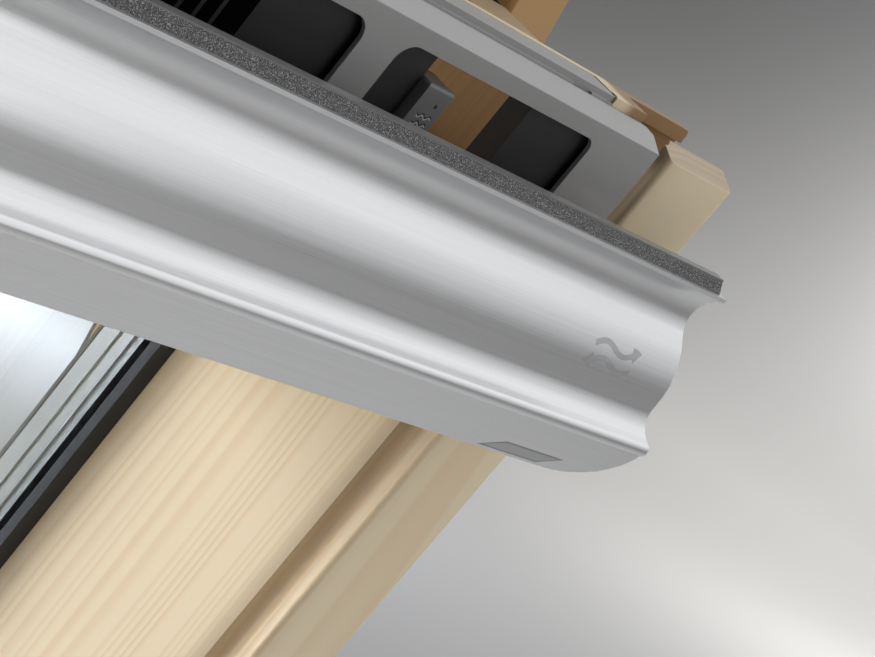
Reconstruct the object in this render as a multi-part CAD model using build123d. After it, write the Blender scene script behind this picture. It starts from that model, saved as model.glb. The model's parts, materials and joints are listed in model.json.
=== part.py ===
"""Centre-pivot pine roof window with its frame, millimetres.

X runs across the window, Z up its slope, and Y from the room to the outside. Every piece is drawn
with the window shut: x from the middle, y as the depth behind the room face of the sash, z above the
underside of the frame. Frame pieces are then moved back by FRAME_MIDDLE, which puts the origin in the
middle of the bottom face. Sash pieces are also turned about the pivot by AJAR, the angle at which
the sash stands open.
"""
from build123d import *
from math import hypot, sqrt
import os

os.makedirs("parts", exist_ok=True)

# Frame timbers
FRAME_WIDTH = 780
FRAME_HEIGHT = 978
MEMBER = 35
FRAME_FRONT = 28
FRAME_DEPTH = 90
LINING_REBATE = 11
LINING_REBATE_DEPTH = 10
TIMBER_ROUND = 2

# Running gaps between frame and sash
SIDE_GAP = 3
HEAD_GAP = 10
SILL_GAP = 6
FIT = 0.3
BEARING_FIT = 0.05

# Sash timbers
STILE = 37
TOP_RAIL_DROP = 44
TOP_RAIL_FACE = 54
BOTTOM_RAIL_FACE = 60
SPLAY = 20
SPLAY_START = 15
BEAD_GROOVE_RADIUS = 4.5
BEAD_GROOVE_DEPTH = 10
REBATE = 14
STILE_TOP_LAND = 8
STILE_TOP_RISE = 3.5
STILE_SHOULDER = 8

# Wood strip and seal rail on the head of the sash
HEAD_STRIP_BACK = 22.6
HEAD_STRIP_RISE = 6.4
HEAD_STRIP_END = 48
HEAD_SLAT = 4
HEAD_SLAT_HEIGHT = 4.6
HEAD_SLAT_END = 11
HEAD_LEG = 2
ROUTER_RADIUS = 1.6
SEAL_RAIL_START = 10
SEAL_RAIL_BACK = 20.3
SEAL_RAIL_RISE = 6.1
SEAL_RAIL_SHEET = 1.6
SEAL_RAIL_TOE_RISE = 4.2
SEAL_RAIL_FOOT = 2.4
SEAL_RAIL_END = 65
RAIL_SLOT_END = 76.5
RAIL_SLOT_LENGTH = 9.5
RAIL_SLOT_DEPTH = 1.4

# Glazing
PANE = 4
CAVITY = 16
GLASS_EDGE_GAP = 4
INNER_GASKET = 4
INNER_GASKET_LAP = 7
SPACER_WIDTH = 11
SPACER_INSET = 8
SPACER_SHOULDER = 3
SPACER_STEP = 1
SPACER_GROOVE = 1.6
OUTER_GASKET = 2.2
OUTER_GASKET_WIDTH = 9
GLASS_DEPTH = 88

# Pivot
AJAR = 12
PIVOT_DEPTH = 60
PIVOT_PIN_RADIUS = 7
PIVOT_PIN_BITE = 12
HINGE_PLATE = 3
HINGE_PLATE_WIDTH = 36
HINGE_PLATE_HEIGHT = 140
HINGE_PLATE_ROUND = 6
WASHER_RADIUS = 16
FLATS_PER_WASHER = 24
HINGE_SCREW_RADIUS = 2.2
HINGE_SCREW_LENGTH = 18
HINGE_SCREW_PITCH = 55

# Sheet covers
SHEET = 1.5
COVER_RISE = 6
COVER_LAP = 4
COVER_SHOULDER = 14
JAMB_COVER_SIDE = 48
HOOD_RUN = 48
HOOD_NOSE = 12.5
APRON_DROP = 31
APRON_RUN = 16

# Vent channel
CHANNEL_GAP = 7
CHANNEL_SHEET = 1.6
CHANNEL_BEVEL_RUN = 7.3
CHANNEL_BEVEL_RISE = 3.6
CHANNEL_FOOT = 14
CHANNEL_CORNER_RUN = 6.5
CHANNEL_CORNER_DEPTH = 3
VENT_HOLE_WIDTH = 91
VENT_HOLE_TOP = 5.5
VENT_HOLE_BOTTOM = 34
VENT_HOLE_ROUND = 6
VENT_HOLE_END_ROUND = 3.5
VENT_HOLE_PITCH = 105.5
VENT_HOLE_INSET = 74.5
VENT_HOLES_PER_SIDE = 2

# Filter behind the channel
FILTER_FRONT = 3
FILTER_DEPTH = 9
FILTER_TOP = 3
FILTER_BOTTOM = 36.8
FILTER_BLOCK = 65
FILTER_BAR = 3
FILTER_RIB = 1.4
FILTER_RIB_PITCH = 6
FLEECE = 1.8
END_BLOCK_LENGTH = 58
END_BLOCK_DEPTH = 8.5
CATCH_WAY = 45
CATCH_WIDTH = 11.5
CATCH_TOP = 12
CATCH_PROUD = 0.5
CATCH_DEPTH = 10
CATCH_TRAVEL = 14
CATCH_ROUND = 1.2

# Control bar, placed by depth and by drop below the top of the sash
BAR_WALL = 1.8
BAR_LIP_TIP = (-22.7, 23.6)
BAR_LIP_THICKNESS = 1.3
BAR_LIP_UNDERCUT = 0.3
BAR_NECK = (-16.6, 35.2)
BAR_BELLY_TOP = (-19.5, 41)
BAR_BELLY_END = (-27.8, 62)
BAR_GROOVE_END = (-34.4, 71)
BAR_BEAD_END = (-35, 75.4)
BAR_SKIRT_END = (-31.8, 90.5)
BAR_BACK_TOP = (-14.2, 24.6)
BAR_BACK = -9
BAR_BACK_START = 38.5
BAR_BACK_END = 63
BAR_CHAMBER_MARGIN = 3
BAR_CHAMBER_STEP = 1
BAR_SKIRT_ROOT = 1.1
BAR_CORNER_RUN = 34
BAR_CORNER_RISE = 16
FOAM_FRONT = -21
FOAM_BACK = -15.4
FOAM_LEAN = 2.1
FOAM_HEIGHT = 3.5
FOAM_STRIP = 0.5
FOAM_INSET = 2.5

# Hinges of the control bar
BAR_AXIS = (40, 52)
BAR_ARM_INSET = 24
BAR_ARM = 3
BAR_ARM_HALF_HEIGHT = 6
BAR_ARM_FOOT = 14
BAR_ARM_FOOT_SHEET = 2
BAR_PIN_RADIUS = 3
BRACKET_CHEEK = 2
BRACKET_RUN = 24
BRACKET_NOTCH = 11
BRACKET_NOTCH_DEPTH = 56
BRACKET_NOTCH_DROP = 34
CHANNEL_NOTCH = 7
CHANNEL_NOTCH_TOP = 36

# Latch
LATCH_DEPTH = 47
LATCH_CASE_WIDTH = 52
LATCH_CASE_DEPTH = 24
LATCH_CASE_TOP = 8
LATCH_WIDTH = 16
LATCH_THICKNESS = 10
LATCH_RISE = 9
LATCH_LENGTH = 48
LATCH_TRAVEL = 8.2
STRIKER_SHEET = 2
STRIKER_WIDTH = 60
STRIKER_REACH = 14
POCKET_MARGIN = 2.5

# Cleaning bolt in the sash and its two bushes in the frame
BOLT_DEPTH = 72
BOLT_LIFT = 9
BOLT_RADIUS = 4
BOLT_LENGTH = 88
BOLT_REST_INSET = 7
BOLT_TRAVEL = 22
BOLT_HOUSING_RADIUS = 7
BOLT_HOUSING_LENGTH = 46
BOLT_GRIP_RADIUS = 2
BOLT_GRIP_HEIGHT = 15
TURNED_BUSH_DEPTH = 104.3
BUSH_RADIUS = 7
BUSH_LENGTH = 16

# Seals of the frame
SIDE_SEAL = 2.4
HEAD_SEAL = 1.4
SEAL_WIDTH = 9
SEAL_CLEARANCE = 8

# Screws and fixing brackets
FLATS_PER_SCREW = 8
FIXING_SHEET = 2.5
FIXING_FLANGE = 47
FIXING_PLATE = 32
FIXING_HEIGHT = 70
FIXING_INSET = 150
FIXING_HOLE_RADIUS = 3.5
FIXING_HOLE_PLACE = 25
FIXING_SCREW_RADIUS = 2.5
FIXING_SCREW_LENGTH = 25
FIXING_SCREW_PITCH = 44
FIXING_SCREW_PLACE = 19
FIXING_CORNER = 8
CORNER_SCREW_RADIUS = 3
CORNER_SCREW_LENGTH = 80
CORNER_SCREW_PITCH = 50
STRIKER_SCREW_RADIUS = 2
STRIKER_SCREW_LENGTH = 16

# Lines that several pieces share
FRAME_HALF = FRAME_WIDTH / 2
JAMB_INNER = FRAME_HALF - MEMBER
HEAD_UNDER = FRAME_HEIGHT - MEMBER
FRAME_BACK = FRAME_FRONT + FRAME_DEPTH
FRAME_MIDDLE = FRAME_FRONT + FRAME_DEPTH / 2
SASH_HALF = JAMB_INNER - SIDE_GAP
SASH_TOP = HEAD_UNDER - HEAD_GAP
SASH_BOTTOM = MEMBER + SILL_GAP
PIVOT_HEIGHT = FRAME_HEIGHT / 2
STILE_INNER = SASH_HALF - STILE
GLASS_BACK = GLASS_DEPTH + 2 * PANE + CAVITY
REBATE_DEPTH = GLASS_DEPTH - INNER_GASKET
SIGHT_HALF = STILE_INNER - SPLAY
GLASS_HALF = SIGHT_HALF + REBATE - GLASS_EDGE_GAP
TOP_FACE_END = SASH_TOP - TOP_RAIL_DROP - TOP_RAIL_FACE
SIGHT_TOP = TOP_FACE_END - SPLAY
GLASS_TOP = SIGHT_TOP + REBATE - GLASS_EDGE_GAP
BOTTOM_FACE_END = SASH_BOTTOM + BOTTOM_RAIL_FACE
SIGHT_BOTTOM = BOTTOM_FACE_END + SPLAY
GLASS_BOTTOM = SIGHT_BOTTOM - REBATE + GLASS_EDGE_GAP
CHANNEL_HALF = STILE_INNER - CHANNEL_GAP
CHANNEL_FLOOR = TOP_RAIL_DROP - CHANNEL_SHEET
OUTER_VENT_HOLE = CHANNEL_HALF - VENT_HOLE_INSET
END_BLOCK_START = CHANNEL_HALF - END_BLOCK_LENGTH
FILTER_HALF = END_BLOCK_START - CATCH_WAY
BAR_ARM_PLACE = FILTER_HALF - BAR_ARM_INSET
COVER_BACK = GLASS_BACK + OUTER_GASKET
RAIL_TOP = SASH_TOP - TOP_RAIL_DROP
CHANNEL_LIP = CHANNEL_BEVEL_RUN + CHANNEL_SHEET
SEAL_RAIL_HALF = SASH_HALF - SEAL_RAIL_END
BOLT_HEIGHT = SIGHT_BOTTOM + BOLT_LIFT
SEAL_DEPTH = PIVOT_DEPTH + WASHER_RADIUS + SEAL_CLEARANCE

SHUT = Pos(0, -FRAME_MIDDLE, 0)
SWUNG = SHUT * Pos(0, PIVOT_DEPTH, PIVOT_HEIGHT) * Rot(X=AJAR) * Pos(0, -PIVOT_DEPTH, -PIVOT_HEIGHT)


def save(name, shape, place):
    """Write one named piece to its own file."""
    export_step(place * shape, f"parts/{name}.step")


def block(x0, x1, y0, y1, z0, z1):
    """Box between three pairs of planes."""
    return Pos((x0 + x1) / 2, (y0 + y1) / 2, (z0 + z1) / 2) * Box(x1 - x0, y1 - y0, z1 - z0)


def across(outline, x0, x1):
    """Bar along X with a (depth, height) outline."""
    face = make_face(Plane.YZ * Polyline(*outline, close=True))
    return Pos(x0, 0, 0) * extrude(face, amount=x1 - x0, dir=(1, 0, 0))


def upright(outline, z0, z1):
    """Bar along Z with an (x, depth) outline."""
    face = make_face(Polyline(*outline, close=True))
    return Pos(0, 0, z0) * extrude(face, amount=z1 - z0, dir=(0, 0, 1))


def rod_x(radius, x0, x1, y, z):
    """Round rod along X."""
    return Pos((x0 + x1) / 2, y, z) * Rot(Y=90) * Cylinder(radius, x1 - x0)


def rod_y(radius, x, y0, y1, z):
    """Round rod along Y."""
    return Pos(x, (y0 + y1) / 2, z) * Rot(X=90) * Cylinder(radius, y1 - y0)


def rod_z(radius, x, y, z0, z1):
    """Round rod along Z."""
    return Pos(x, y, (z0 + z1) / 2) * Cylinder(radius, z1 - z0)


def other_side(shape):
    """Mirror image on the left of the window."""
    return mirror(shape, about=Plane.YZ)


def low(drop):
    """Height of a point that lies this far below the top of the sash."""
    return SASH_TOP - drop


def countersunk(radius, length):
    """Screw along -Z with its flat head at the origin, its round form drawn with few flats."""
    head = extrude(RegularPolygon(2 * radius, FLATS_PER_SCREW), amount=radius, taper=45)
    shank = extrude(RegularPolygon(radius, FLATS_PER_SCREW), amount=length)
    return Rot(X=180) * (head + shank)


# Frame


def frame_member(length, rebate_half):
    """Frame timber along X, its inner side facing down, with the rebate that the lining fits in."""
    timber = block(-length / 2, length / 2, FRAME_FRONT, FRAME_BACK, 0, MEMBER)
    return timber - block(-rebate_half, rebate_half, FRAME_FRONT - 1, FRAME_FRONT + LINING_REBATE_DEPTH,
                          -1, LINING_REBATE)


def head_timber():
    """Head with the pocket that the latch enters."""
    timber = Pos(0, 0, HEAD_UNDER) * frame_member(FRAME_WIDTH, JAMB_INNER + LINING_REBATE)
    return timber - latch_pocket(HEAD_UNDER - 1)


def latch_pocket(bottom):
    """Hole that the raised latch needs in the head."""
    half = LATCH_WIDTH / 2 + POCKET_MARGIN
    reach = LATCH_THICKNESS / 2 + POCKET_MARGIN
    top = low(-LATCH_RISE - LATCH_TRAVEL - POCKET_MARGIN)
    return block(-half, half, LATCH_DEPTH - reach, LATCH_DEPTH + reach, bottom, top)


def sill_timber():
    """Sill: the head's section turned over."""
    timber = frame_member(FRAME_WIDTH, JAMB_INNER + LINING_REBATE)
    return Pos(0, 0, MEMBER) * mirror(timber, about=Plane.XY)


def right_jamb():
    """Right jamb, before its holes are drilled."""
    length = HEAD_UNDER - MEMBER
    timber = Rot(Y=90) * frame_member(length, length)
    return Pos(JAMB_INNER, 0, PIVOT_HEIGHT) * timber


def jamb_hinge_plate():
    """Steel plate let into the jamb, with the pivot pin."""
    plate = hinge_plate(JAMB_INNER, JAMB_INNER + HINGE_PLATE)
    pin = rod_x(PIVOT_PIN_RADIUS, SASH_HALF - PIVOT_PIN_BITE, JAMB_INNER + HINGE_PLATE,
                PIVOT_DEPTH, PIVOT_HEIGHT)
    return plate - hinge_screws(JAMB_INNER, 1) + pin


def hinge_plate(x0, x1):
    """Plate across the pivot, its corners rounded."""
    outline = RectangleRounded(HINGE_PLATE_WIDTH, HINGE_PLATE_HEIGHT, HINGE_PLATE_ROUND)
    plate = extrude(Plane.YZ * outline, amount=x1 - x0, dir=(1, 0, 0))
    return Pos(x0, PIVOT_DEPTH, PIVOT_HEIGHT) * plate


def hinge_screws(face, way):
    """Two screws of a hinge plate, driven from its face towards +X (way 1) or -X (way -1)."""
    screw = Rot(Y=-90 * way) * countersunk(HINGE_SCREW_RADIUS, HINGE_SCREW_LENGTH)
    return [Pos(face, PIVOT_DEPTH, PIVOT_HEIGHT + side * HINGE_SCREW_PITCH) * screw for side in (-1, 1)]


def friction_washer():
    """Washer on the pivot pin, between the two hinge plates."""
    outline = Plane.YZ * RegularPolygon(WASHER_RADIUS, FLATS_PER_WASHER)
    disc = extrude(outline, amount=SIDE_GAP - 2 * FIT, dir=(1, 0, 0))
    bore = rod_x(PIVOT_PIN_RADIUS + BEARING_FIT, SASH_HALF, JAMB_INNER, PIVOT_DEPTH, PIVOT_HEIGHT)
    return Pos(SASH_HALF + FIT, PIVOT_DEPTH, PIVOT_HEIGHT) * disc - bore


def bolt_bushes():
    """Bushes in the left jamb for the cleaning bolt, sash shut and sash turned over."""
    bushes = []
    for depth, height in bush_places():
        ring = rod_x(BUSH_RADIUS, -JAMB_INNER - BUSH_LENGTH, -JAMB_INNER, depth, height)
        bore = rod_x(BOLT_RADIUS + FIT, -JAMB_INNER - BUSH_LENGTH - 1, -JAMB_INNER + 1, depth, height)
        bushes.append(ring - bore)
    return bushes


def bush_places():
    """The bolt's place with the sash shut, and with the sash turned over for cleaning."""
    reach = hypot(BOLT_DEPTH - PIVOT_DEPTH, BOLT_HEIGHT - PIVOT_HEIGHT)
    rise = sqrt(reach**2 - (TURNED_BUSH_DEPTH - PIVOT_DEPTH) ** 2)
    return [(BOLT_DEPTH, BOLT_HEIGHT), (TURNED_BUSH_DEPTH, PIVOT_HEIGHT + rise)]


def striker_blank(bottom):
    """Striker plate without its holes, from the rebate of the head to behind the latch."""
    return block(-STRIKER_WIDTH / 2, STRIKER_WIDTH / 2, FRAME_FRONT + LINING_REBATE_DEPTH,
                 LATCH_DEPTH + STRIKER_REACH, bottom, HEAD_UNDER + STRIKER_SHEET)


def striker_plate():
    """Plate under the head, let into the timber, with the latch's mouth."""
    return striker_blank(HEAD_UNDER) - latch_pocket(HEAD_UNDER - 1) - striker_screws()


def striker_screws():
    """Two screws up through the striker plate."""
    screw = Rot(X=180) * countersunk(STRIKER_SCREW_RADIUS, STRIKER_SCREW_LENGTH)
    place = STRIKER_WIDTH / 2 - 3 * STRIKER_SCREW_RADIUS
    return [Pos(side * place, LATCH_DEPTH, HEAD_UNDER) * screw for side in (-1, 1)]


def corner_screws():
    """Two long screws at each corner of the frame, through head or sill into the jamb."""
    screws = []
    for side in (-1, 1):
        for shift in (-1, 1):
            x = side * (FRAME_HALF - MEMBER / 2)
            y = FRAME_MIDDLE + shift * CORNER_SCREW_PITCH / 2
            screw = countersunk(CORNER_SCREW_RADIUS, CORNER_SCREW_LENGTH)
            screws.append(Pos(x, y, FRAME_HEIGHT) * screw)
            screws.append(Pos(x, y, 0) * Rot(X=180) * screw)
    return screws


def fixing_bracket(height):
    """Steel angle on the right jamb, for a screw into the roof batten."""
    z0 = height - FIXING_HEIGHT / 2
    z1 = height + FIXING_HEIGHT / 2
    plate = block(FRAME_HALF, FRAME_HALF + FIXING_SHEET, FRAME_FRONT + FIXING_SHEET,
                  FRAME_FRONT + FIXING_SHEET + FIXING_PLATE, z0, z1)
    flange = block(FRAME_HALF, FRAME_HALF + FIXING_FLANGE, FRAME_FRONT + FIXING_SHEET,
                   FRAME_FRONT + 2 * FIXING_SHEET, z0, z1)
    corners = flange.edges().filter_by(Axis.Y).sort_by(Axis.X)[-2:]
    flange = chamfer(corners, FIXING_CORNER)
    hole = rod_y(FIXING_HOLE_RADIUS, FRAME_HALF + FIXING_HOLE_PLACE, FRAME_FRONT, FRAME_MIDDLE, height)
    return plate + flange - hole - fixing_screws(height)


def fixing_screws(height):
    """Two screws that hold a bracket to the right jamb."""
    screw = Rot(Y=90) * countersunk(FIXING_SCREW_RADIUS, FIXING_SCREW_LENGTH)
    depth = FRAME_FRONT + FIXING_SHEET + FIXING_SCREW_PLACE
    x = FRAME_HALF + FIXING_SHEET
    return [Pos(x, depth, height + side * FIXING_SCREW_PITCH / 2) * screw for side in (-1, 1)]


def side_seal():
    """Rubber strip on the inner side of the right jamb."""
    return block(JAMB_INNER - SIDE_SEAL, JAMB_INNER, SEAL_DEPTH, SEAL_DEPTH + SEAL_WIDTH,
                 MEMBER + HEAD_SEAL, HEAD_UNDER - HEAD_SEAL)


def level_seal(z0):
    """Rubber strip along the head or the sill."""
    return block(-JAMB_INNER, JAMB_INNER, SEAL_DEPTH, SEAL_DEPTH + SEAL_WIDTH, z0, z0 + HEAD_SEAL)


def jamb_cover():
    """Angle of sheet over the outside of the right jamb."""
    side = FRAME_BACK - JAMB_COVER_SIDE
    outer = FRAME_HALF + SHEET
    outline = [(FRAME_HALF, side), (outer, side), (outer, FRAME_BACK + SHEET),
               (JAMB_INNER, FRAME_BACK + SHEET), (JAMB_INNER, FRAME_BACK), (FRAME_HALF, FRAME_BACK)]
    return upright(outline, MEMBER, HEAD_UNDER)


def hood():
    """Folded hood over the head."""
    top = FRAME_HEIGHT + SHEET
    start = FRAME_BACK - HOOD_RUN
    back = FRAME_BACK + SHEET
    nose = back + HOOD_NOSE
    turn = HOOD_NOSE / 2
    outline = [(start, FRAME_HEIGHT), (start, top), (nose - turn, top), (nose, top - turn),
               (nose, HEAD_UNDER + SHEET), (nose - SHEET, HEAD_UNDER + SHEET),
               (nose - SHEET, top - turn - SHEET / 2), (nose - turn - SHEET / 2, FRAME_HEIGHT),
               (back, FRAME_HEIGHT), (back, HEAD_UNDER + SHEET), (FRAME_BACK, HEAD_UNDER + SHEET),
               (FRAME_BACK, FRAME_HEIGHT)]
    half = FRAME_HALF + SHEET
    return across(outline, -half, half)


def sill_cover():
    """Apron of sheet over the outside of the sill."""
    back = FRAME_BACK + SHEET
    foot = MEMBER - APRON_DROP
    outline = [(FRAME_BACK, MEMBER - SHEET), (back, MEMBER - SHEET), (back, foot),
               (back + APRON_RUN, foot - SHEET), (back + APRON_RUN, foot - 2 * SHEET),
               (FRAME_BACK, foot - SHEET)]
    half = FRAME_HALF + SHEET
    return across(outline, -half, half)


# Sash timbers


def stile_blank():
    """Right stile without its bead groove, as the rails are scribed to it."""
    outline = [(SASH_HALF, 0), (STILE_INNER, 0), (STILE_INNER, SPLAY_START), (SIGHT_HALF, REBATE_DEPTH),
               (SIGHT_HALF + REBATE, REBATE_DEPTH), (SIGHT_HALF + REBATE, GLASS_BACK),
               (SASH_HALF, GLASS_BACK)]
    return upright(outline, SASH_BOTTOM, SASH_TOP + STILE_TOP_RISE)


def right_stile():
    """Right stile with its bevelled head and the groove along its inner face."""
    stile = stile_blank()
    front = stile.edges().filter_by(Axis.Z).sort_by(Axis.Y)[:2]
    stile = fillet(front, TIMBER_ROUND)
    bevel = [(-1, SASH_TOP), (0, SASH_TOP), (STILE_TOP_LAND, SASH_TOP + STILE_TOP_RISE),
             (STILE_TOP_LAND, SASH_TOP + 2 * STILE_TOP_RISE), (-1, SASH_TOP + 2 * STILE_TOP_RISE)]
    stile -= across(bevel, 0, FRAME_HALF)
    stile -= block(0, FRAME_HALF, STILE_TOP_LAND, GLASS_BACK + 1, low(STILE_SHOULDER), FRAME_HEIGHT)
    stile -= rod_z(BEAD_GROOVE_RADIUS, STILE_INNER, BEAD_GROOVE_DEPTH, 0, FRAME_HEIGHT)
    return stile


def rail_outline(outer, face_end, sight):
    """Section of a rail, from its outer edge to the glass, as (depth, height)."""
    inward = 1 if sight > outer else -1
    return [(0, outer), (0, face_end), (SPLAY_START, face_end), (REBATE_DEPTH, sight),
            (REBATE_DEPTH, sight - inward * REBATE), (GLASS_BACK, sight - inward * REBATE),
            (GLASS_BACK, outer)]


def rail(outer, face_end, sight):
    """Rail scribed to both stiles, with the bead groove along its inner edge."""
    blank = across(rail_outline(outer, face_end, sight), -SASH_HALF, SASH_HALF)
    blank -= [stile_blank(), other_side(stile_blank())]
    return blank - rod_x(BEAD_GROOVE_RADIUS, -SASH_HALF, SASH_HALF, BEAD_GROOVE_DEPTH, face_end)


def top_rail():
    """Top rail with a notch for each hinge of the control bar."""
    timber = rail(RAIL_TOP, TOP_FACE_END, SIGHT_TOP)
    for side in (-1, 1):
        x = side * BAR_ARM_PLACE
        timber -= block(x - BRACKET_NOTCH / 2, x + BRACKET_NOTCH / 2, -1, BRACKET_NOTCH_DEPTH,
                        RAIL_TOP - BRACKET_NOTCH_DROP, RAIL_TOP + 1)
    return timber


def bottom_rail():
    """Bottom rail."""
    return rail(SASH_BOTTOM, BOTTOM_FACE_END, SIGHT_BOTTOM)


def head_strip():
    """Wood strip behind the channel, rebated for the seal rail, with a slat on the stiles' shoulders."""
    half = SASH_HALF - HEAD_STRIP_END
    slat_half = SASH_HALF - HEAD_SLAT_END
    top = low(-HEAD_STRIP_RISE)
    slat_foot = top - HEAD_SLAT_HEIGHT
    strip = block(-half, half, CHANNEL_LIP + FIT, HEAD_STRIP_BACK, low(SEAL_RAIL_FOOT), top)
    slat = block(-slat_half, slat_half, HEAD_STRIP_BACK - HEAD_SLAT, HEAD_STRIP_BACK, slat_foot, top)
    leg = block(-slat_half, slat_half, HEAD_STRIP_BACK - HEAD_LEG, HEAD_STRIP_BACK,
                low(STILE_SHOULDER), slat_foot)
    seat = block(-SEAL_RAIL_HALF, SEAL_RAIL_HALF, 0, SEAL_RAIL_BACK,
                 low(-SEAL_RAIL_RISE) - SEAL_RAIL_SHEET, top + 1)
    groove = block(-SEAL_RAIL_HALF, SEAL_RAIL_HALF, 0, SEAL_RAIL_START + SEAL_RAIL_SHEET, low(STILE_SHOULDER), top)
    ends = rod_z(ROUTER_RADIUS, SEAL_RAIL_HALF, SEAL_RAIL_START + ROUTER_RADIUS, low(STILE_SHOULDER), top + 1)
    slat = fillet(slat.edges().filter_by(Axis.Y).sort_by(Axis.Z)[-2:], TIMBER_ROUND)
    return strip + slat + leg - seat - groove - ends - other_side(ends)


def seal_rail():
    """Folded rail in the rebate of the wood strip: a flat top, a front wall and a toe at the channel."""
    top = low(-SEAL_RAIL_RISE)
    toe = low(-SEAL_RAIL_TOE_RISE)
    foot = low(SEAL_RAIL_FOOT)
    wall = SEAL_RAIL_START + SEAL_RAIL_SHEET
    outline = [(CHANNEL_LIP, foot), (CHANNEL_LIP, toe), (SEAL_RAIL_START, toe), (SEAL_RAIL_START, top),
               (SEAL_RAIL_BACK, top), (SEAL_RAIL_BACK, top - SEAL_RAIL_SHEET), (wall, top - SEAL_RAIL_SHEET),
               (wall, foot)]
    rail = across(outline, -SEAL_RAIL_HALF, SEAL_RAIL_HALF)
    x1 = SASH_HALF - RAIL_SLOT_END
    slot = block(x1 - RAIL_SLOT_LENGTH, x1, 0, SEAL_RAIL_START, toe - RAIL_SLOT_DEPTH, top)
    return rail - slot - other_side(slot)


# Glazing


def pane_ring(y0, y1, outer, inner):
    """Rectangular ring about the glass, outer and inner given as insets from the glass edge."""
    whole = block(-GLASS_HALF + outer, GLASS_HALF - outer, y0, y1, GLASS_BOTTOM + outer, GLASS_TOP - outer)
    hole = block(-GLASS_HALF + inner, GLASS_HALF - inner, y0 - 1, y1 + 1,
                 GLASS_BOTTOM + inner, GLASS_TOP - inner)
    return whole - hole


def pane(y0):
    """One sheet of glass."""
    return block(-GLASS_HALF, GLASS_HALF, y0, y0 + PANE, GLASS_BOTTOM, GLASS_TOP)


def inner_gasket():
    """Black gasket between timber and glass, with the lip that shows."""
    lap = REBATE - GLASS_EDGE_GAP + INNER_GASKET_LAP
    return pane_ring(REBATE_DEPTH, GLASS_DEPTH, 0, lap)


def spacer():
    """Spacer bar between the panes, its face raised between two shoulders and grooved in the middle."""
    y0 = GLASS_DEPTH + PANE
    y1 = y0 + CAVITY
    middle = y0 + CAVITY / 2
    face = SPACER_INSET + SPACER_WIDTH
    root = pane_ring(y0, y1, SPACER_INSET, face - SPACER_STEP)
    near = pane_ring(y0 + SPACER_SHOULDER, middle - SPACER_GROOVE / 2, SPACER_INSET, face)
    far = pane_ring(middle + SPACER_GROOVE / 2, y1 - SPACER_SHOULDER, SPACER_INSET, face)
    return root + near + far


def outer_gasket():
    """Gasket between the glass and the sash covers."""
    lap = REBATE - GLASS_EDGE_GAP + COVER_LAP
    return pane_ring(GLASS_BACK, COVER_BACK, lap - OUTER_GASKET_WIDTH, lap)


def cover_outline(outer, sight, inward):
    """Section of a sash cover as (place across, depth), from its outer edge to over the glass."""
    edge = sight + inward * COVER_LAP
    shoulder = edge - inward * COVER_SHOULDER
    top = COVER_BACK + COVER_RISE
    corner = COVER_RISE / 3
    return [(outer, GLASS_BACK), (outer, top - corner), (outer + inward * corner, top), (shoulder, top),
            (edge, COVER_BACK + SHEET), (edge, COVER_BACK), (shoulder, top - SHEET),
            (outer + inward * (corner + SHEET / 2), top - SHEET),
            (outer + inward * SHEET, top - corner - SHEET / 2), (outer + inward * SHEET, GLASS_BACK)]


def stile_cover():
    """Sheet cover over the outside of the right stile."""
    return upright(cover_outline(SASH_HALF, SIGHT_HALF, -1), SASH_BOTTOM, low(STILE_SHOULDER))


def rail_cover(outer, sight, inward):
    """Sheet cover over the outside of a rail, between the two stile covers."""
    outline = [(depth, height) for height, depth in cover_outline(outer, sight, inward)]
    half = SIGHT_HALF - COVER_LAP
    return across(outline, -half, half)


# Pivot on the sash


def sash_hinge_plate():
    """Steel plate let into the right stile, with the bore for the pivot pin."""
    plate = hinge_plate(SASH_HALF - HINGE_PLATE, SASH_HALF)
    bore = rod_x(PIVOT_PIN_RADIUS + BEARING_FIT, 0, FRAME_HALF, PIVOT_DEPTH, PIVOT_HEIGHT)
    return plate - bore - hinge_screws(SASH_HALF, -1)


# Vent channel and filter


def vent_channel():
    """Folded channel along the head of the sash, with its row of openings."""
    bevel = (CHANNEL_BEVEL_RUN, low(-CHANNEL_BEVEL_RISE))
    lip = CHANNEL_BEVEL_RUN + CHANNEL_SHEET
    inner_bevel = (CHANNEL_BEVEL_RUN, low(-CHANNEL_BEVEL_RISE + CHANNEL_SHEET))
    outline = [(0, RAIL_TOP), (0, SASH_TOP), bevel, (lip, low(-CHANNEL_BEVEL_RISE)), (lip, low(FILTER_TOP)),
               (CHANNEL_BEVEL_RUN, low(FILTER_TOP)), inner_bevel,
               (CHANNEL_SHEET, low(CHANNEL_SHEET / 2)), (CHANNEL_SHEET, low(CHANNEL_FLOOR)),
               (CHANNEL_FOOT, low(CHANNEL_FLOOR)), (CHANNEL_FOOT, RAIL_TOP)]
    channel = across(outline, -CHANNEL_HALF, CHANNEL_HALF)
    cutters = [vent_hole(step) for step in range(VENT_HOLES_PER_SIDE)]
    cutters.append(channel_corner())
    cutters.append(block(BAR_ARM_PLACE - CHANNEL_NOTCH / 2, BAR_ARM_PLACE + CHANNEL_NOTCH / 2, -1,
                         CHANNEL_FOOT + 1, RAIL_TOP - 1, low(CHANNEL_NOTCH_TOP)))
    return channel - cutters - [other_side(cutter) for cutter in cutters]


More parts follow.
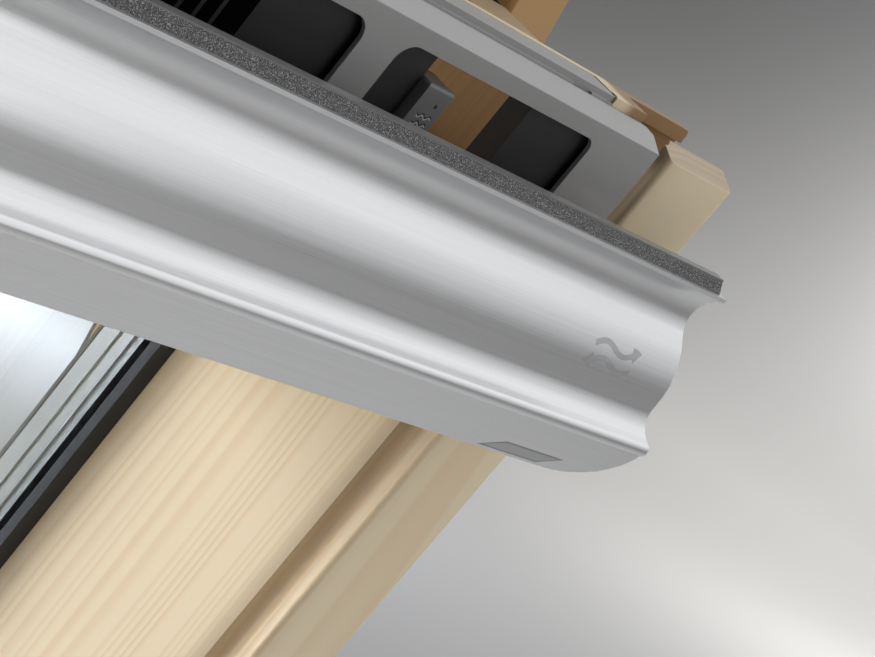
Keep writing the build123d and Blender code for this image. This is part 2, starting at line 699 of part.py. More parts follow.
def vent_hole(step):
    """Cutter for one opening of the right half, counted from the end, where its corners are sharper."""
    x = OUTER_VENT_HOLE - step * VENT_HOLE_PITCH
    cutter = block(x - VENT_HOLE_WIDTH / 2, x + VENT_HOLE_WIDTH / 2, -1, CHANNEL_SHEET + 1,
                   low(VENT_HOLE_BOTTOM), low(VENT_HOLE_TOP))
    cutter = fillet(cutter.edges().filter_by(Axis.Y).sort_by(Axis.X)[:2], VENT_HOLE_ROUND)
    outer = cutter.edges().filter_by(Axis.Y).sort_by(Axis.X)[-2:]
    return fillet(outer, VENT_HOLE_ROUND if step else VENT_HOLE_END_ROUND)


def channel_corner():
    """Cutter for the slanted corner at the back of the channel's right end."""
    run = CHANNEL_HALF - CHANNEL_CORNER_RUN
    outline = [(run, CHANNEL_LIP), (CHANNEL_HALF, CHANNEL_LIP - CHANNEL_CORNER_DEPTH),
               (FRAME_HALF, CHANNEL_LIP - CHANNEL_CORNER_DEPTH), (FRAME_HALF, FRAME_FRONT), (run, FRAME_FRONT)]
    return upright(outline, low(FILTER_TOP), HEAD_UNDER)


def filter_cassette():
    """Black cassette with a closed block at each end and ribs between."""
    y0 = FILTER_FRONT
    y1 = FILTER_FRONT + FILTER_DEPTH
    top = low(FILTER_TOP)
    bottom = low(FILTER_BOTTOM)
    open_half = FILTER_HALF - FILTER_BLOCK
    whole = block(-FILTER_HALF, FILTER_HALF, y0, y1, bottom, top)
    window = block(-open_half, open_half, y0 - 1, y1 + 1, bottom + FILTER_BAR, top - FILTER_BAR)
    ribs = []
    count = int(open_half / FILTER_RIB_PITCH)
    for step in range(-count + 1, count):
        x = step * FILTER_RIB_PITCH
        ribs.append(block(x - FILTER_RIB / 2, x + FILTER_RIB / 2, y0 + 1, y1, bottom + FILTER_BAR / 2,
                          top - FILTER_BAR / 2))
    return whole - window + ribs


def filter_fleece():
    """Filter fleece behind the ribs of the cassette."""
    half = FILTER_HALF - FILTER_BLOCK + FILTER_BAR
    y0 = FILTER_FRONT + FILTER_DEPTH
    return block(-half, half, y0, y0 + FLEECE, low(FILTER_BOTTOM), low(FILTER_TOP + FILTER_BAR))


def end_block():
    """Black block that closes the channel beside the right stile."""
    return block(END_BLOCK_START, CHANNEL_HALF, FILTER_FRONT, FILTER_FRONT + END_BLOCK_DEPTH,
                 low(CHANNEL_FLOOR), low(FILTER_TOP))


def filter_catch():
    """Grey catch that slides in the channel, with its grip standing in the opening."""
    x1 = FILTER_HALF + CATCH_WIDTH
    x0 = FILTER_HALF + FIT
    grip = block(x0, x1, -CATCH_PROUD, CATCH_DEPTH, low(VENT_HOLE_BOTTOM - 2 * FIT), low(CATCH_TOP))
    top_edges = grip.edges().filter_by(Axis.Y).sort_by(Axis.Z)[-2:]
    front_edge = grip.edges().filter_by(Axis.X).sort_by(Axis.Z)[-2:].sort_by(Axis.Y)[0]
    grip = fillet(top_edges + [front_edge], CATCH_ROUND)
    foot = block(x0, x1, CHANNEL_SHEET + FIT, CATCH_DEPTH, low(CHANNEL_FLOOR - FIT),
                 low(VENT_HOLE_BOTTOM - 2 * FIT - 1))
    return grip + foot


# Control bar


def bar_point(place):
    """Point of the bar's section, given as (depth, drop below the top of the sash)."""
    return (place[0], low(place[1]))


def bar_section():
    """Closed section of the extruded bar: lip, neck, belly, groove, bead and skirt."""
    tip_low = (BAR_LIP_TIP[0] + BAR_LIP_UNDERCUT, BAR_LIP_TIP[1] + BAR_LIP_THICKNESS)
    neck = ThreePointArc(bar_point(tip_low), bar_point(BAR_NECK), bar_point(BAR_BELLY_TOP))
    belly = TangentArc(bar_point(BAR_BELLY_TOP), bar_point(BAR_BELLY_END), tangent=neck % 1)
    groove = TangentArc(bar_point(BAR_BELLY_END), bar_point(BAR_GROOVE_END), tangent=belly % 1)
    bead = TangentArc(bar_point(BAR_GROOVE_END), bar_point(BAR_BEAD_END), tangent=groove % 1)
    run = BAR_SKIRT_END[0] - BAR_BEAD_END[0]
    drop = BAR_SKIRT_END[1] - BAR_BEAD_END[1]
    across_skirt = (BAR_WALL * drop / hypot(run, drop), -BAR_WALL * run / hypot(run, drop))
    skirt_inner = (BAR_SKIRT_END[0] + across_skirt[0], BAR_SKIRT_END[1] + across_skirt[1])
    skirt_root = (BAR_BEAD_END[0] + across_skirt[0] + BAR_SKIRT_ROOT, BAR_BEAD_END[1] + across_skirt[1])
    rest = [BAR_BEAD_END, BAR_SKIRT_END, skirt_inner, skirt_root, (BAR_BACK, BAR_BACK_END),
            (BAR_BACK, BAR_BACK_START), BAR_BACK_TOP, (BAR_BACK_TOP[0], BAR_LIP_TIP[1]), BAR_LIP_TIP, tip_low]
    lines = Polyline(*[bar_point(place) for place in rest])
    return make_face(Plane.YZ * (neck + belly + groove + bead + lines))


def bar_cavity():
    """Hollow chamber of the extrusion, behind its belly."""
    wall = BAR_WALL + BAR_CHAMBER_STEP
    front = BAR_BELLY_END[0] + wall
    back = BAR_BACK - BAR_WALL
    start = BAR_BACK_START + BAR_CHAMBER_MARGIN
    outline = [(back, start), (back, BAR_BACK_END - BAR_WALL), (front, BAR_GROOVE_END[1] - BAR_CHAMBER_MARGIN),
               (front, BAR_BELLY_END[1] - BAR_CHAMBER_STEP), (BAR_BELLY_TOP[0] + wall, start + BAR_WALL)]
    return make_face(Plane.YZ * Polyline(*[bar_point(place) for place in outline], close=True))


def control_bar():
    """Aluminium bar along the head of the sash, its skirt rounded off at both ends."""
    section = bar_section() - bar_cavity()
    bar = Pos(-SASH_HALF, 0, 0) * extrude(section, amount=2 * SASH_HALF, dir=(1, 0, 0))
    return bar - [skirt_corner(), other_side(skirt_corner())]


def skirt_corner():
    """Cutter that rounds the lower right corner of the skirt, a quarter of an ellipse."""
    corner_x = SASH_HALF - BAR_CORNER_RUN
    base = low(BAR_SKIRT_END[1])
    keep = extrude(Plane.XZ * Ellipse(BAR_CORNER_RUN, BAR_CORNER_RISE), amount=SASH_HALF, both=True)
    keep = Pos(corner_x, 0, base + BAR_CORNER_RISE) * keep
    square = block(corner_x, SASH_HALF + 1, -SASH_HALF / 2, BAR_BACK, base - 1, base + BAR_CORNER_RISE)
    return square - keep


def bar_foam():
    """Foam seal on the lip of the bar."""
    seat = BAR_LIP_TIP[1]
    outline = [(FOAM_FRONT, low(seat)), (FOAM_FRONT + FOAM_LEAN, low(seat - FOAM_HEIGHT)),
               (FOAM_BACK, low(seat - FOAM_HEIGHT)), (BAR_BACK_TOP[0], low(seat))]
    half = SASH_HALF - FOAM_INSET
    return across(outline, -half, half)


def foam_strip():
    """Thin metal strip bonded to the top of the foam."""
    z0 = low(BAR_LIP_TIP[1] - FOAM_HEIGHT)
    half = SASH_HALF - FOAM_INSET
    return block(-half, half, FOAM_FRONT + FOAM_LEAN, FOAM_BACK, z0, z0 + FOAM_STRIP)


def bar_arm():
    """Arm from the back of the bar to its hinge pin, right side."""
    axis_y, axis_drop = BAR_AXIS
    x0 = BAR_ARM_PLACE - BAR_ARM / 2
    x1 = BAR_ARM_PLACE + BAR_ARM / 2
    root = BAR_BACK_END - BAR_ARM_HALF_HEIGHT + 2
    outline = [(BAR_BACK, low(root - BAR_ARM_HALF_HEIGHT)), (axis_y, low(axis_drop - BAR_ARM_HALF_HEIGHT)),
               (axis_y, low(axis_drop + BAR_ARM_HALF_HEIGHT)), (BAR_BACK, low(BAR_BACK_END))]
    arm = across(outline, x0, x1) + rod_x(BAR_ARM_HALF_HEIGHT, x0, x1, axis_y, low(axis_drop))
    foot = block(BAR_ARM_PLACE - BAR_ARM_FOOT / 2, BAR_ARM_PLACE + BAR_ARM_FOOT / 2, BAR_BACK,
                 BAR_BACK + BAR_ARM_FOOT_SHEET, low(BAR_BACK_END), low(root - BAR_ARM_HALF_HEIGHT))
    bore = rod_x(BAR_PIN_RADIUS + BEARING_FIT, x0 - 1, x1 + 1, axis_y, low(axis_drop))
    return arm + foot - bore


def bar_bracket():
    """U-shaped bracket in the notch of the top rail, right side."""
    axis_y, axis_drop = BAR_AXIS
    half = BRACKET_NOTCH / 2
    y0 = axis_y - BRACKET_RUN / 2
    y1 = axis_y + BRACKET_RUN / 2
    floor = RAIL_TOP - BRACKET_NOTCH_DROP
    solid = block(BAR_ARM_PLACE - half, BAR_ARM_PLACE + half, y0, y1, floor, RAIL_TOP)
    gap = block(BAR_ARM_PLACE - half + BRACKET_CHEEK, BAR_ARM_PLACE + half - BRACKET_CHEEK, y0 - 1, y1 + 1,
                floor + BRACKET_CHEEK, RAIL_TOP + 1)
    bore = rod_x(BAR_PIN_RADIUS, 0, FRAME_HALF, axis_y, low(axis_drop))
    return solid - gap - bore


def bar_pin():
    """Pin of the bar's right hinge."""
    axis_y, axis_drop = BAR_AXIS
    half = BRACKET_NOTCH / 2
    return rod_x(BAR_PIN_RADIUS, BAR_ARM_PLACE - half, BAR_ARM_PLACE + half, axis_y, low(axis_drop))


# Latch


def latch_bolt():
    """Latch that rises out of its case into the head."""
    bolt = block(-LATCH_WIDTH / 2, LATCH_WIDTH / 2, LATCH_DEPTH - LATCH_THICKNESS / 2,
                 LATCH_DEPTH + LATCH_THICKNESS / 2, low(LATCH_LENGTH - LATCH_RISE), low(-LATCH_RISE))
    nose = bolt.edges().filter_by(Axis.X).sort_by(Axis.Z)[-2:].sort_by(Axis.Y)[0]
    return chamfer(nose, LATCH_THICKNESS / 3)


def latch_case():
    """Case of the latch, standing on the top rail."""
    case = block(-LATCH_CASE_WIDTH / 2, LATCH_CASE_WIDTH / 2, LATCH_DEPTH - LATCH_CASE_DEPTH / 2,
                 LATCH_DEPTH + LATCH_CASE_DEPTH / 2, RAIL_TOP, low(LATCH_CASE_TOP))
    case = fillet(case.edges().filter_by(Axis.Z), 3)
    way = block(-LATCH_WIDTH / 2 - FIT, LATCH_WIDTH / 2 + FIT, LATCH_DEPTH - LATCH_THICKNESS / 2 - FIT,
                LATCH_DEPTH + LATCH_THICKNESS / 2 + FIT, RAIL_TOP - 1, SASH_TOP)
    return case - way


# Cleaning bolt


def cleaning_bolt():
    """Bolt through the left stile, with its grip."""
    end = -SASH_HALF + BOLT_REST_INSET
    bolt = rod_x(BOLT_RADIUS, end, end + BOLT_LENGTH, BOLT_DEPTH, BOLT_HEIGHT)
    grip_x = end + BOLT_LENGTH - 2 * BOLT_RADIUS
    stem_top = BOLT_HEIGHT + BOLT_GRIP_HEIGHT
    stem = rod_z(BOLT_GRIP_RADIUS, grip_x, BOLT_DEPTH, BOLT_HEIGHT, stem_top)
    knob = Pos(grip_x, BOLT_DEPTH, stem_top) * Cylinder(BOLT_RADIUS, BOLT_RADIUS)
    return bolt + stem + chamfer(knob.edges(), BOLT_RADIUS / 8)


def bolt_housing():
    """Tube of the cleaning bolt with its slot, on a foot scribed to the bottom rail."""
    x0 = bolt_housing_start()
    x1 = x0 + BOLT_HOUSING_LENGTH
    tube = rod_x(BOLT_HOUSING_RADIUS, x0, x1, BOLT_DEPTH, BOLT_HEIGHT)
    foot = block(x0, x1, BOLT_DEPTH - BOLT_RADIUS, BOLT_DEPTH + BOLT_RADIUS, BOTTOM_FACE_END, BOLT_HEIGHT)
    solid = tube + foot - bottom_rail()
    slot = block(x0 + BOLT_RADIUS, x1 - BOLT_RADIUS, BOLT_DEPTH - BOLT_GRIP_RADIUS - FIT,
                 BOLT_DEPTH + BOLT_GRIP_RADIUS + FIT, BOLT_HEIGHT, BOLT_HEIGHT + BOLT_HOUSING_RADIUS + 1)
    return solid - rod_x(BOLT_RADIUS + FIT, x0 - 1, x1 + 1, BOLT_DEPTH, BOLT_HEIGHT) - slot


def bolt_housing_start():
    """Place across where the housing clears the splayed face of the left stile."""
    return -SIGHT_HALF + 1


def main():
    """Build every piece and write it."""
    lower, upper = FIXING_INSET, FRAME_HEIGHT - FIXING_INSET
    left_right = (("right", 1), ("left", -1))

    def sided(shape, side):
        return shape if side > 0 else other_side(shape)

    frame_plate_screws = hinge_screws(JAMB_INNER, 1)
    sash_plate_screws = hinge_screws(SASH_HALF, -1)
    bracket_screws = fixing_screws(lower) + fixing_screws(upper)
    corners = corner_screws()

    head = head_timber() - striker_blank(HEAD_UNDER - 1) - striker_screws()
    save("frame_head", head - corners, SHUT)
    save("frame_sill", sill_timber() - corners, SHUT)
    save("striker_plate", striker_plate(), SHUT)
    save("striker_screws", Compound(children=striker_screws()), SHUT)
    save("corner_screws", Compound(children=corners), SHUT)

    jamb = right_jamb() - hinge_plate(JAMB_INNER - 1, JAMB_INNER + HINGE_PLATE)
    jamb -= frame_plate_screws + bracket_screws
    bush_cutters = [rod_x(BUSH_RADIUS, -JAMB_INNER - BUSH_LENGTH, -JAMB_INNER + 1, depth, height)
                    for depth, height in bush_places()]
    bolt_ends = [rod_x(BOLT_RADIUS + FIT, -JAMB_INNER - BUSH_LENGTH, -JAMB_INNER, depth, height)
                 for depth, height in bush_places()]
    for name, side in left_right:
        timber = sided(jamb, side) - corners
        if side < 0:
            timber -= bush_cutters + bolt_ends
        save(f"frame_jamb_{name}", timber, SHUT)
        save(f"frame_hinge_{name}", sided(jamb_hinge_plate(), side), SHUT)
        save(f"friction_washer_{name}", sided(friction_washer(), side), SHUT)
        save(f"jamb_seal_{name}", sided(side_seal(), side), SHUT)
        save(f"jamb_cover_{name}", sided(jamb_cover(), side), SHUT)
        save(f"fixing_bracket_lower_{name}", sided(fixing_bracket(lower), side), SHUT)
        save(f"fixing_bracket_upper_{name}", sided(fixing_bracket(upper), side), SHUT)

    def both_sides(shapes):
        return Compound(children=shapes + [other_side(shape) for shape in shapes])

    save("frame_hinge_screws", both_sides(frame_plate_screws), SHUT)
    save("fixing_screws", both_sides(bracket_screws), SHUT)
    save("bolt_bushes", Compound(children=bolt_bushes()), SHUT)
    save("head_seal", level_seal(HEAD_UNDER - HEAD_SEAL), SHUT)
    save("sill_seal", level_seal(MEMBER), SHUT)
    save("hood", hood(), SHUT)
    save("sill_cover", sill_cover(), SHUT)

    stile = right_stile() - hinge_plate(SASH_HALF - HINGE_PLATE, SASH_HALF + 1) - sash_plate_screws
    stile -= rod_x(PIVOT_PIN_RADIUS + FIT, SASH_HALF - PIVOT_PIN_BITE - 1, FRAME_HALF,
                   PIVOT_DEPTH, PIVOT_HEIGHT)
    bolt_way = rod_x(BOLT_RADIUS + FIT, -FRAME_HALF, 0, BOLT_DEPTH, BOLT_HEIGHT)
    for name, side in left_right:
        timber = sided(stile, side)
        if side < 0:
            timber -= bolt_way
        save(f"stile_{name}", timber, SWUNG)
        save(f"sash_hinge_{name}", sided(sash_hinge_plate(), side), SWUNG)
        save(f"stile_cover_{name}", sided(stile_cover(), side), SWUNG)
        save(f"vent_end_block_{name}", sided(end_block(), side), SWUNG)
    save("sash_hinge_screws", both_sides(sash_plate_screws), SWUNG)
    save("top_rail", top_rail(), SWUNG)
    save("bottom_rail", bottom_rail() - bolt_way, SWUNG)
    save("head_strip", head_strip(), SWUNG)
    save("seal_rail", seal_rail(), SWUNG)
    save("inner_pane", pane(GLASS_DEPTH), SWUNG)
    save("outer_pane", pane(GLASS_DEPTH + PANE + CAVITY), SWUNG)
    save("inner_gasket", inner_gasket(), SWUNG)
    save("outer_gasket", outer_gasket(), SWUNG)
    save("spacer_bar", spacer(), SWUNG)
    save("top_rail_cover", rail_cover(RAIL_TOP, SIGHT_TOP, -1), SWUNG)
    save("bottom_rail_cover", rail_cover(SASH_BOTTOM, SIGHT_BOTTOM, 1), SWUNG)
    save("vent_channel", vent_channel(), SWUNG)
    save("filter_cassette", filter_cassette(), SWUNG)
    save("filter_fleece", filter_fleece(), SWUNG)
    save("filter_catch", filter_catch(), SWUNG)
    save("latch_case", latch_case(), SWUNG)
    save("latch_bolt", latch_bolt(), SWUNG)
    save("cleaning_bolt", cleaning_bolt(), SWUNG)
    save("bolt_housing", bolt_housing(), SWUNG)
    save("bar_brackets", both_sides([bar_bracket()]), SWUNG)
    save("bar_pins", both_sides([bar_pin()]), SWUNG)

    save("control_bar", control_bar(), SWUNG)
    save("bar_foam", bar_foam(), SWUNG)
    save("bar_foam_strip", foam_strip(), SWUNG)
    save("bar_arms", both_sides([bar_arm()]), SWUNG)


main()
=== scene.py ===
"""Looks of a centre-pivot pine roof window: its finishes, eased edges, small marks, camera and light.

Lengths are metres unless a name ends in _mm or _MM. Places on the sash are given with the window
shut, as (across, depth behind the sash's room face, drop below the sash's top), and then swung open
with it.
"""
import json
from math import cos, pi, radians, sin

import bmesh
import bpy
from mathutils import Matrix, Vector
from mathutils.bvhtree import BVHTree
from mathutils.geometry import tessellate_polygon

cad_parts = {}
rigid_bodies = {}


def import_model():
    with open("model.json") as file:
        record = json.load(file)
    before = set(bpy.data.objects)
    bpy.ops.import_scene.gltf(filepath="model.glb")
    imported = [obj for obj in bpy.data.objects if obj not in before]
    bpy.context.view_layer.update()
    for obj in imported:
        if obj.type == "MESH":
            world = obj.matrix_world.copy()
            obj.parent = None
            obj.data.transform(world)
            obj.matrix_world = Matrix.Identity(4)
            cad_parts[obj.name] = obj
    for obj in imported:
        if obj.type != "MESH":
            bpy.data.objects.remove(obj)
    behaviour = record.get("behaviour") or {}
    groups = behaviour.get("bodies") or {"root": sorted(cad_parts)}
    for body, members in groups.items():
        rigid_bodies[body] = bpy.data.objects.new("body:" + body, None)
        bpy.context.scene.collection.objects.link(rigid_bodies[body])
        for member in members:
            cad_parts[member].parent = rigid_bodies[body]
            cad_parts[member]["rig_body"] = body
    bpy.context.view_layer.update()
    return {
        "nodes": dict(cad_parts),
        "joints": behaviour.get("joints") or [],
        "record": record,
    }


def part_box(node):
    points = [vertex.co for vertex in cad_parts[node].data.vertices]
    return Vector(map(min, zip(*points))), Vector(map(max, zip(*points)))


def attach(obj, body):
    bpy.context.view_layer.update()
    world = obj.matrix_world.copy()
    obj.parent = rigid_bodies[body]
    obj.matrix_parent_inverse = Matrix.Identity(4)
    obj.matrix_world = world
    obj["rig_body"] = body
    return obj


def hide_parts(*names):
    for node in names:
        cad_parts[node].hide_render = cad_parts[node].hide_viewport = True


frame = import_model()
MM = 0.001

# Places taken from the frame
JOINTS = {joint["name"]: joint for joint in frame["joints"]}
PIVOT = Vector(JOINTS["sash_pivot"]["pos_m"])
AJAR = -radians(JOINTS["sash_pivot"]["range_deg"][0])
SWING = Matrix.Translation(PIVOT) @ Matrix.Rotation(AJAR, 4, "X") @ Matrix.Translation(-PIVOT)
INTO_SASH = SWING.to_3x3() @ Vector((0, 1, 0))
SLOTS = {row["node"]: row["material_slot"] for row in frame["record"]["subparts"]}

# The shut sash: its room face from the middle of the frame's depth, its top from the frame's underside
SASH_FACE_MM = -73
SASH_TOP_MM = 933


def sash_point(across_mm, depth_mm, drop_mm):
    """Point on the swung sash, from its place with the window shut."""
    return SWING @ (Vector((across_mm, SASH_FACE_MM + depth_mm, SASH_TOP_MM - drop_mm)) * MM)


def body_of(node):
    """Name of the body that carries a node of the frame."""
    return frame["nodes"][node]["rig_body"]


# Colours and nodes

ABSOLUTE = {"operation": "ABSOLUTE"}
FRACTION = {"operation": "FRACT"}
LARGER = {"operation": "MAXIMUM"}
MINUS = {"operation": "SUBTRACT"}
TIMES = {"operation": "MULTIPLY"}
TIMES_PLUS = {"operation": "MULTIPLY_ADD"}
LENGTH = {"operation": "LENGTH"}
DOT = {"operation": "DOT_PRODUCT"}
SMOOTH = {"interpolation_type": "SMOOTHSTEP"}
ON_A_LINE = {"noise_dimensions": "1D"}
TWO_COLOURS = {"data_type": "RGBA"}


def linear(code):
    """Scene colour of an sRGB hex code such as "E6D7B4"."""
    parts = [int(code[i:i + 2], 16) / 255 for i in (0, 2, 4)]
    return (*[p / 12.92 if p <= 0.04045 else ((p + 0.055) / 1.055) ** 2.4 for p in parts], 1.0)


def add(tree, kind, settings=None, out=0, **inputs):
    """Adds one node and returns one of its outputs. An input is a value, or the output that feeds it."""
    node = tree.nodes.new("ShaderNode" + kind)
    for name, value in (settings or {}).items():
        if name == "stops":
            band = node.color_ramp
            while len(band.elements) < len(value):
                band.elements.new(0.5)
            for element, (place, code) in zip(band.elements, value):
                element.position = place
                element.color = linear(code)
        else:
            setattr(node, name, value)
    for name, value in inputs.items():
        socket = node.inputs[int(name[3:]) if name.startswith("at_") else name.replace("_", " ")]
        if isinstance(value, bpy.types.NodeSocket):
            tree.links.new(value, socket)
        else:
            socket.default_value = value
    return node.outputs[out]


def new_material(name, **sockets):
    """Material with one Principled surface whose plain numbers sit on its own sockets."""
    material = bpy.data.materials.new(name)
    material.use_nodes = True
    tree = material.node_tree
    surface = tree.nodes["Principled BSDF"]
    for socket, value in sockets.items():
        surface.inputs[socket.replace("_", " ")].default_value = value
    return material, tree, surface


def dress(tree, surface, **outputs):
    """Links outputs to the surface's sockets."""
    for socket, output in outputs.items():
        tree.links.new(output, surface.inputs[socket.replace("_", " ")])


# Pine

# the brown laid on end grain, and as painted shade in the groove and the pocket behind the vent channel;
# its share on end grain and in the groove
BROWN_ON_END_GRAIN_AND_SHADE = "907C69"
END_GRAIN_SHARE = 0.6
GROOVE_SHADE_SHARE = 0.48
# the groove's painted shade is full this far from its axis, and gone this far from it
GROOVE_SHADE_REACH_MM = (4.2, 12)
# painted shade in the pocket behind the vent channel: inside this line across, and above this one over the
# pivot
SHADED_POCKET_ACROSS_MM = (313, 315)
SHADED_POCKET_RISE_MM = (370, 392)
# distance between growth rings in fast-grown pine
RING_MM = 3.6
# a fibre's width and length
FIBRE_MM = (0.4, 14)
# how far the trunk's axis wanders over the length of a timber
WANDER = 0.06
# timbers are cut from places this far apart along the trunk
CUT_APART = 0.9
# the strip's painted darker end blends in over this stretch
SHADED_END_BLEND_MM = (-3, 4)


def end_grain_and_painted_shade(tree, where, along, swung, groove_mm, placed, split):
    """Share of brown in the wood: more on end grain, and painted shade in the groove and in the pocket
    behind the vent channel.
    """
    way = Vector({"X": (1, 0, 0), "Z": (0, 0, 1)}[along])
    if swung:
        way = SWING.to_3x3() @ way
    facing = add(tree, "VectorMath", DOT, out="Value", at_0=where.node.outputs["Normal"], at_1=way)
    facing = add(tree, "Math", ABSOLUTE, at_0=facing)
    brown = add(tree, "MapRange", Value=facing, From_Min=0.5, From_Max=1.0, To_Max=END_GRAIN_SHARE)
    # painted shade along the groove
    if groove_mm:
        axis = Vector((groove_mm[0] * MM, groove_mm[1] * MM, 0))
        off = add(tree, "VectorMath", MINUS, at_0=placed, at_1=axis)
        off = add(tree, "VectorMath", TIMES, at_0=off, at_1=(1, 1, 0))
        off = add(tree, "VectorMath", LENGTH, out="Value", at_0=off)
        groove_shade = add(tree, "MapRange", SMOOTH, Value=off, From_Min=GROOVE_SHADE_REACH_MM[0] * MM,
                     From_Max=GROOVE_SHADE_REACH_MM[1] * MM, To_Min=GROOVE_SHADE_SHARE, To_Max=0.0)
        brown = add(tree, "Math", LARGER, at_0=brown, at_1=groove_shade)
    # painted shade in the pocket behind the vent channel
    if groove_mm and along == "Z":
        across = add(tree, "Math", ABSOLUTE, at_0=split[0])
        inner = add(tree, "MapRange", Value=across, From_Min=SHADED_POCKET_ACROSS_MM[0] * MM,
                    From_Max=SHADED_POCKET_ACROSS_MM[1] * MM, To_Min=1.0, To_Max=0.0)
        high = add(tree, "MapRange", SMOOTH, Value=split[2], From_Min=SHADED_POCKET_RISE_MM[0] * MM,
                   From_Max=SHADED_POCKET_RISE_MM[1] * MM)
        pocket_shade = add(tree, "Math", TIMES, at_0=inner, at_1=high)
        brown = add(tree, "Math", LARGER, at_0=brown, at_1=pocket_shade)
    return brown


def growth_rings(tree, moved):
    """Share of late wood at a place measured from the trunk's heart: a slow rise and a sudden end."""
    # the trunk's axis turns 7 times a metre across the grain and 1.3 times along it
    stretch = add(tree, "Mapping", Vector=moved, Scale=(7, 7, 1.3))
    drift = add(tree, "TexNoise", out="Color", Vector=stretch, Scale=1.0, Detail=2.0, Roughness=0.45)
    centred = add(tree, "VectorMath", MINUS, at_0=drift, at_1=(0.5, 0.5, 0.5))
    bent = add(tree, "VectorMath", TIMES_PLUS, at_0=centred, at_1=(WANDER, WANDER, 0), at_2=moved)
    flat = add(tree, "VectorMath", TIMES, at_0=bent, at_1=(1, 1, 0))
    radius = add(tree, "VectorMath", LENGTH, out="Value", at_0=flat)
    rings = add(tree, "Math", TIMES, at_0=radius, at_1=1 / (RING_MM * MM))
    # some rings are closer together and some further apart
    uneven = add(tree, "TexNoise", ON_A_LINE, W=rings, Scale=0.35, Detail=1.0)
    shifted = add(tree, "Math", TIMES_PLUS, at_0=uneven, at_1=2.2, at_2=rings)
    phase = add(tree, "Math", FRACTION, at_0=shifted)
    rise = add(tree, "MapRange", SMOOTH, Value=phase, From_Min=0.25, From_Max=0.82)
    fall = add(tree, "MapRange", SMOOTH, Value=phase, From_Min=0.84, From_Max=1.0, To_Min=1.0, To_Max=0.0)
    line = add(tree, "Math", TIMES, at_0=rise, at_1=fall)
    # and some are darker than others
    which = add(tree, "TexNoise", ON_A_LINE, W=rings, Scale=0.23, Detail=2.0)
    strength = add(tree, "MapRange", Value=which, From_Min=0.3, From_Max=0.72, To_Min=0.1, To_Max=0.45)
    return add(tree, "Math", TIMES, at_0=line, at_1=strength)


def lacquered_pine(name, along, seed, swung, heart_mm, groove_mm, early="F4E3C2", late="DCB682",
                   shaded_end_mm=None):
    """Knot-free pine under clear satin lacquer: growth rings show as soft amber lines along the piece."""
    material, tree, surface = new_material(name, Roughness=0.45, Coat_Weight=0.1, Coat_Roughness=0.35)
    where = add(tree, "TexCoord", out="Object")
    turned = add(tree, "Mapping", {"vector_type": "TEXTURE"}, Vector=where,
                 Location=PIVOT, Rotation=(AJAR if swung else 0, 0, 0))
    split = add(tree, "SeparateXYZ", Vector=turned).node.outputs
    order = {"X": (1, 2, 0), "Z": (0, 1, 2)}[along]
    placed = add(tree, "CombineXYZ", X=split[order[0]], Y=split[order[1]], Z=split[order[2]])
    heart = Vector((heart_mm[0] * MM, heart_mm[1] * MM, CUT_APART * seed))
    moved = add(tree, "VectorMath", MINUS, at_0=placed, at_1=heart)
    shade = growth_rings(tree, moved)
    fibre_scale = (1 / (FIBRE_MM[0] * MM), 1 / (FIBRE_MM[0] * MM), 1 / (FIBRE_MM[1] * MM))
    fine = add(tree, "Mapping", Vector=moved, Scale=fibre_scale)
    fibre = add(tree, "TexNoise", Vector=fine, Scale=1.0, Detail=3.0, Roughness=0.6)
    # broad patches of paler and warmer wood, long along the grain
    wide = add(tree, "Mapping", Vector=moved, Scale=(22, 22, 1.6))
    cloud = add(tree, "TexNoise", Vector=wide, Scale=1.0, Detail=3.0)
    streak = add(tree, "MapRange", Value=fibre, To_Min=-0.07, To_Max=0.07)
    tone = add(tree, "MapRange", Value=cloud, To_Min=-0.12, To_Max=0.16)
    both = add(tree, "Math", at_0=streak, at_1=tone)
    total = add(tree, "Math", {"use_clamp": True}, at_0=shade, at_1=both)
    colour = add(tree, "ValToRGB", {"stops": [(0.0, early), (1.0, late)]}, at_0=total)
    if shaded_end_mm:
        # painted shade: beyond this place the timber is painted a darker brown
        shaded_end = add(tree, "MapRange", SMOOTH, Value=split[0], From_Min=(shaded_end_mm + SHADED_END_BLEND_MM[0]) * MM,
                   From_Max=(shaded_end_mm + SHADED_END_BLEND_MM[1]) * MM)
        brown = add(tree, "ValToRGB", {"stops": [(0.0, "A8845C"), (1.0, "6E4A2B")]}, at_0=total)
        colour = add(tree, "Mix", TWO_COLOURS, out=2, at_0=shaded_end, at_6=colour, at_7=brown)
    # brown on end grain, and painted shade in the groove and the pocket behind the vent channel
    share = end_grain_and_painted_shade(tree, where, along, swung, groove_mm, placed, split)
    colour = add(tree, "Mix", TWO_COLOURS | {"blend_type": "MULTIPLY"}, out=2, at_0=share, at_6=colour,
                 at_7=linear(BROWN_ON_END_GRAIN_AND_SHADE))
    relief = add(tree, "Bump", Height=total, Strength=0.05, Distance=0.3 * MM)
    dress(tree, surface, Base_Color=colour, Normal=relief)
    return material


# Other finishes

# width and length of a draw line on an extrusion, and the grit of its etch
DRAW_LINE_MM = (0.25, 120)
ETCH_GRIT_MM = 0.3
# bubbles of the foam, and the finer walls between them
BUBBLE_MM = 0.3
BUBBLE_WALL_MM = 0.2
# tangles of the fleece's fibres
TANGLE_MM = 0.9
# what glass keeps of the shadow and bounce rays that cross it
GLASS_SHADE = 0.08


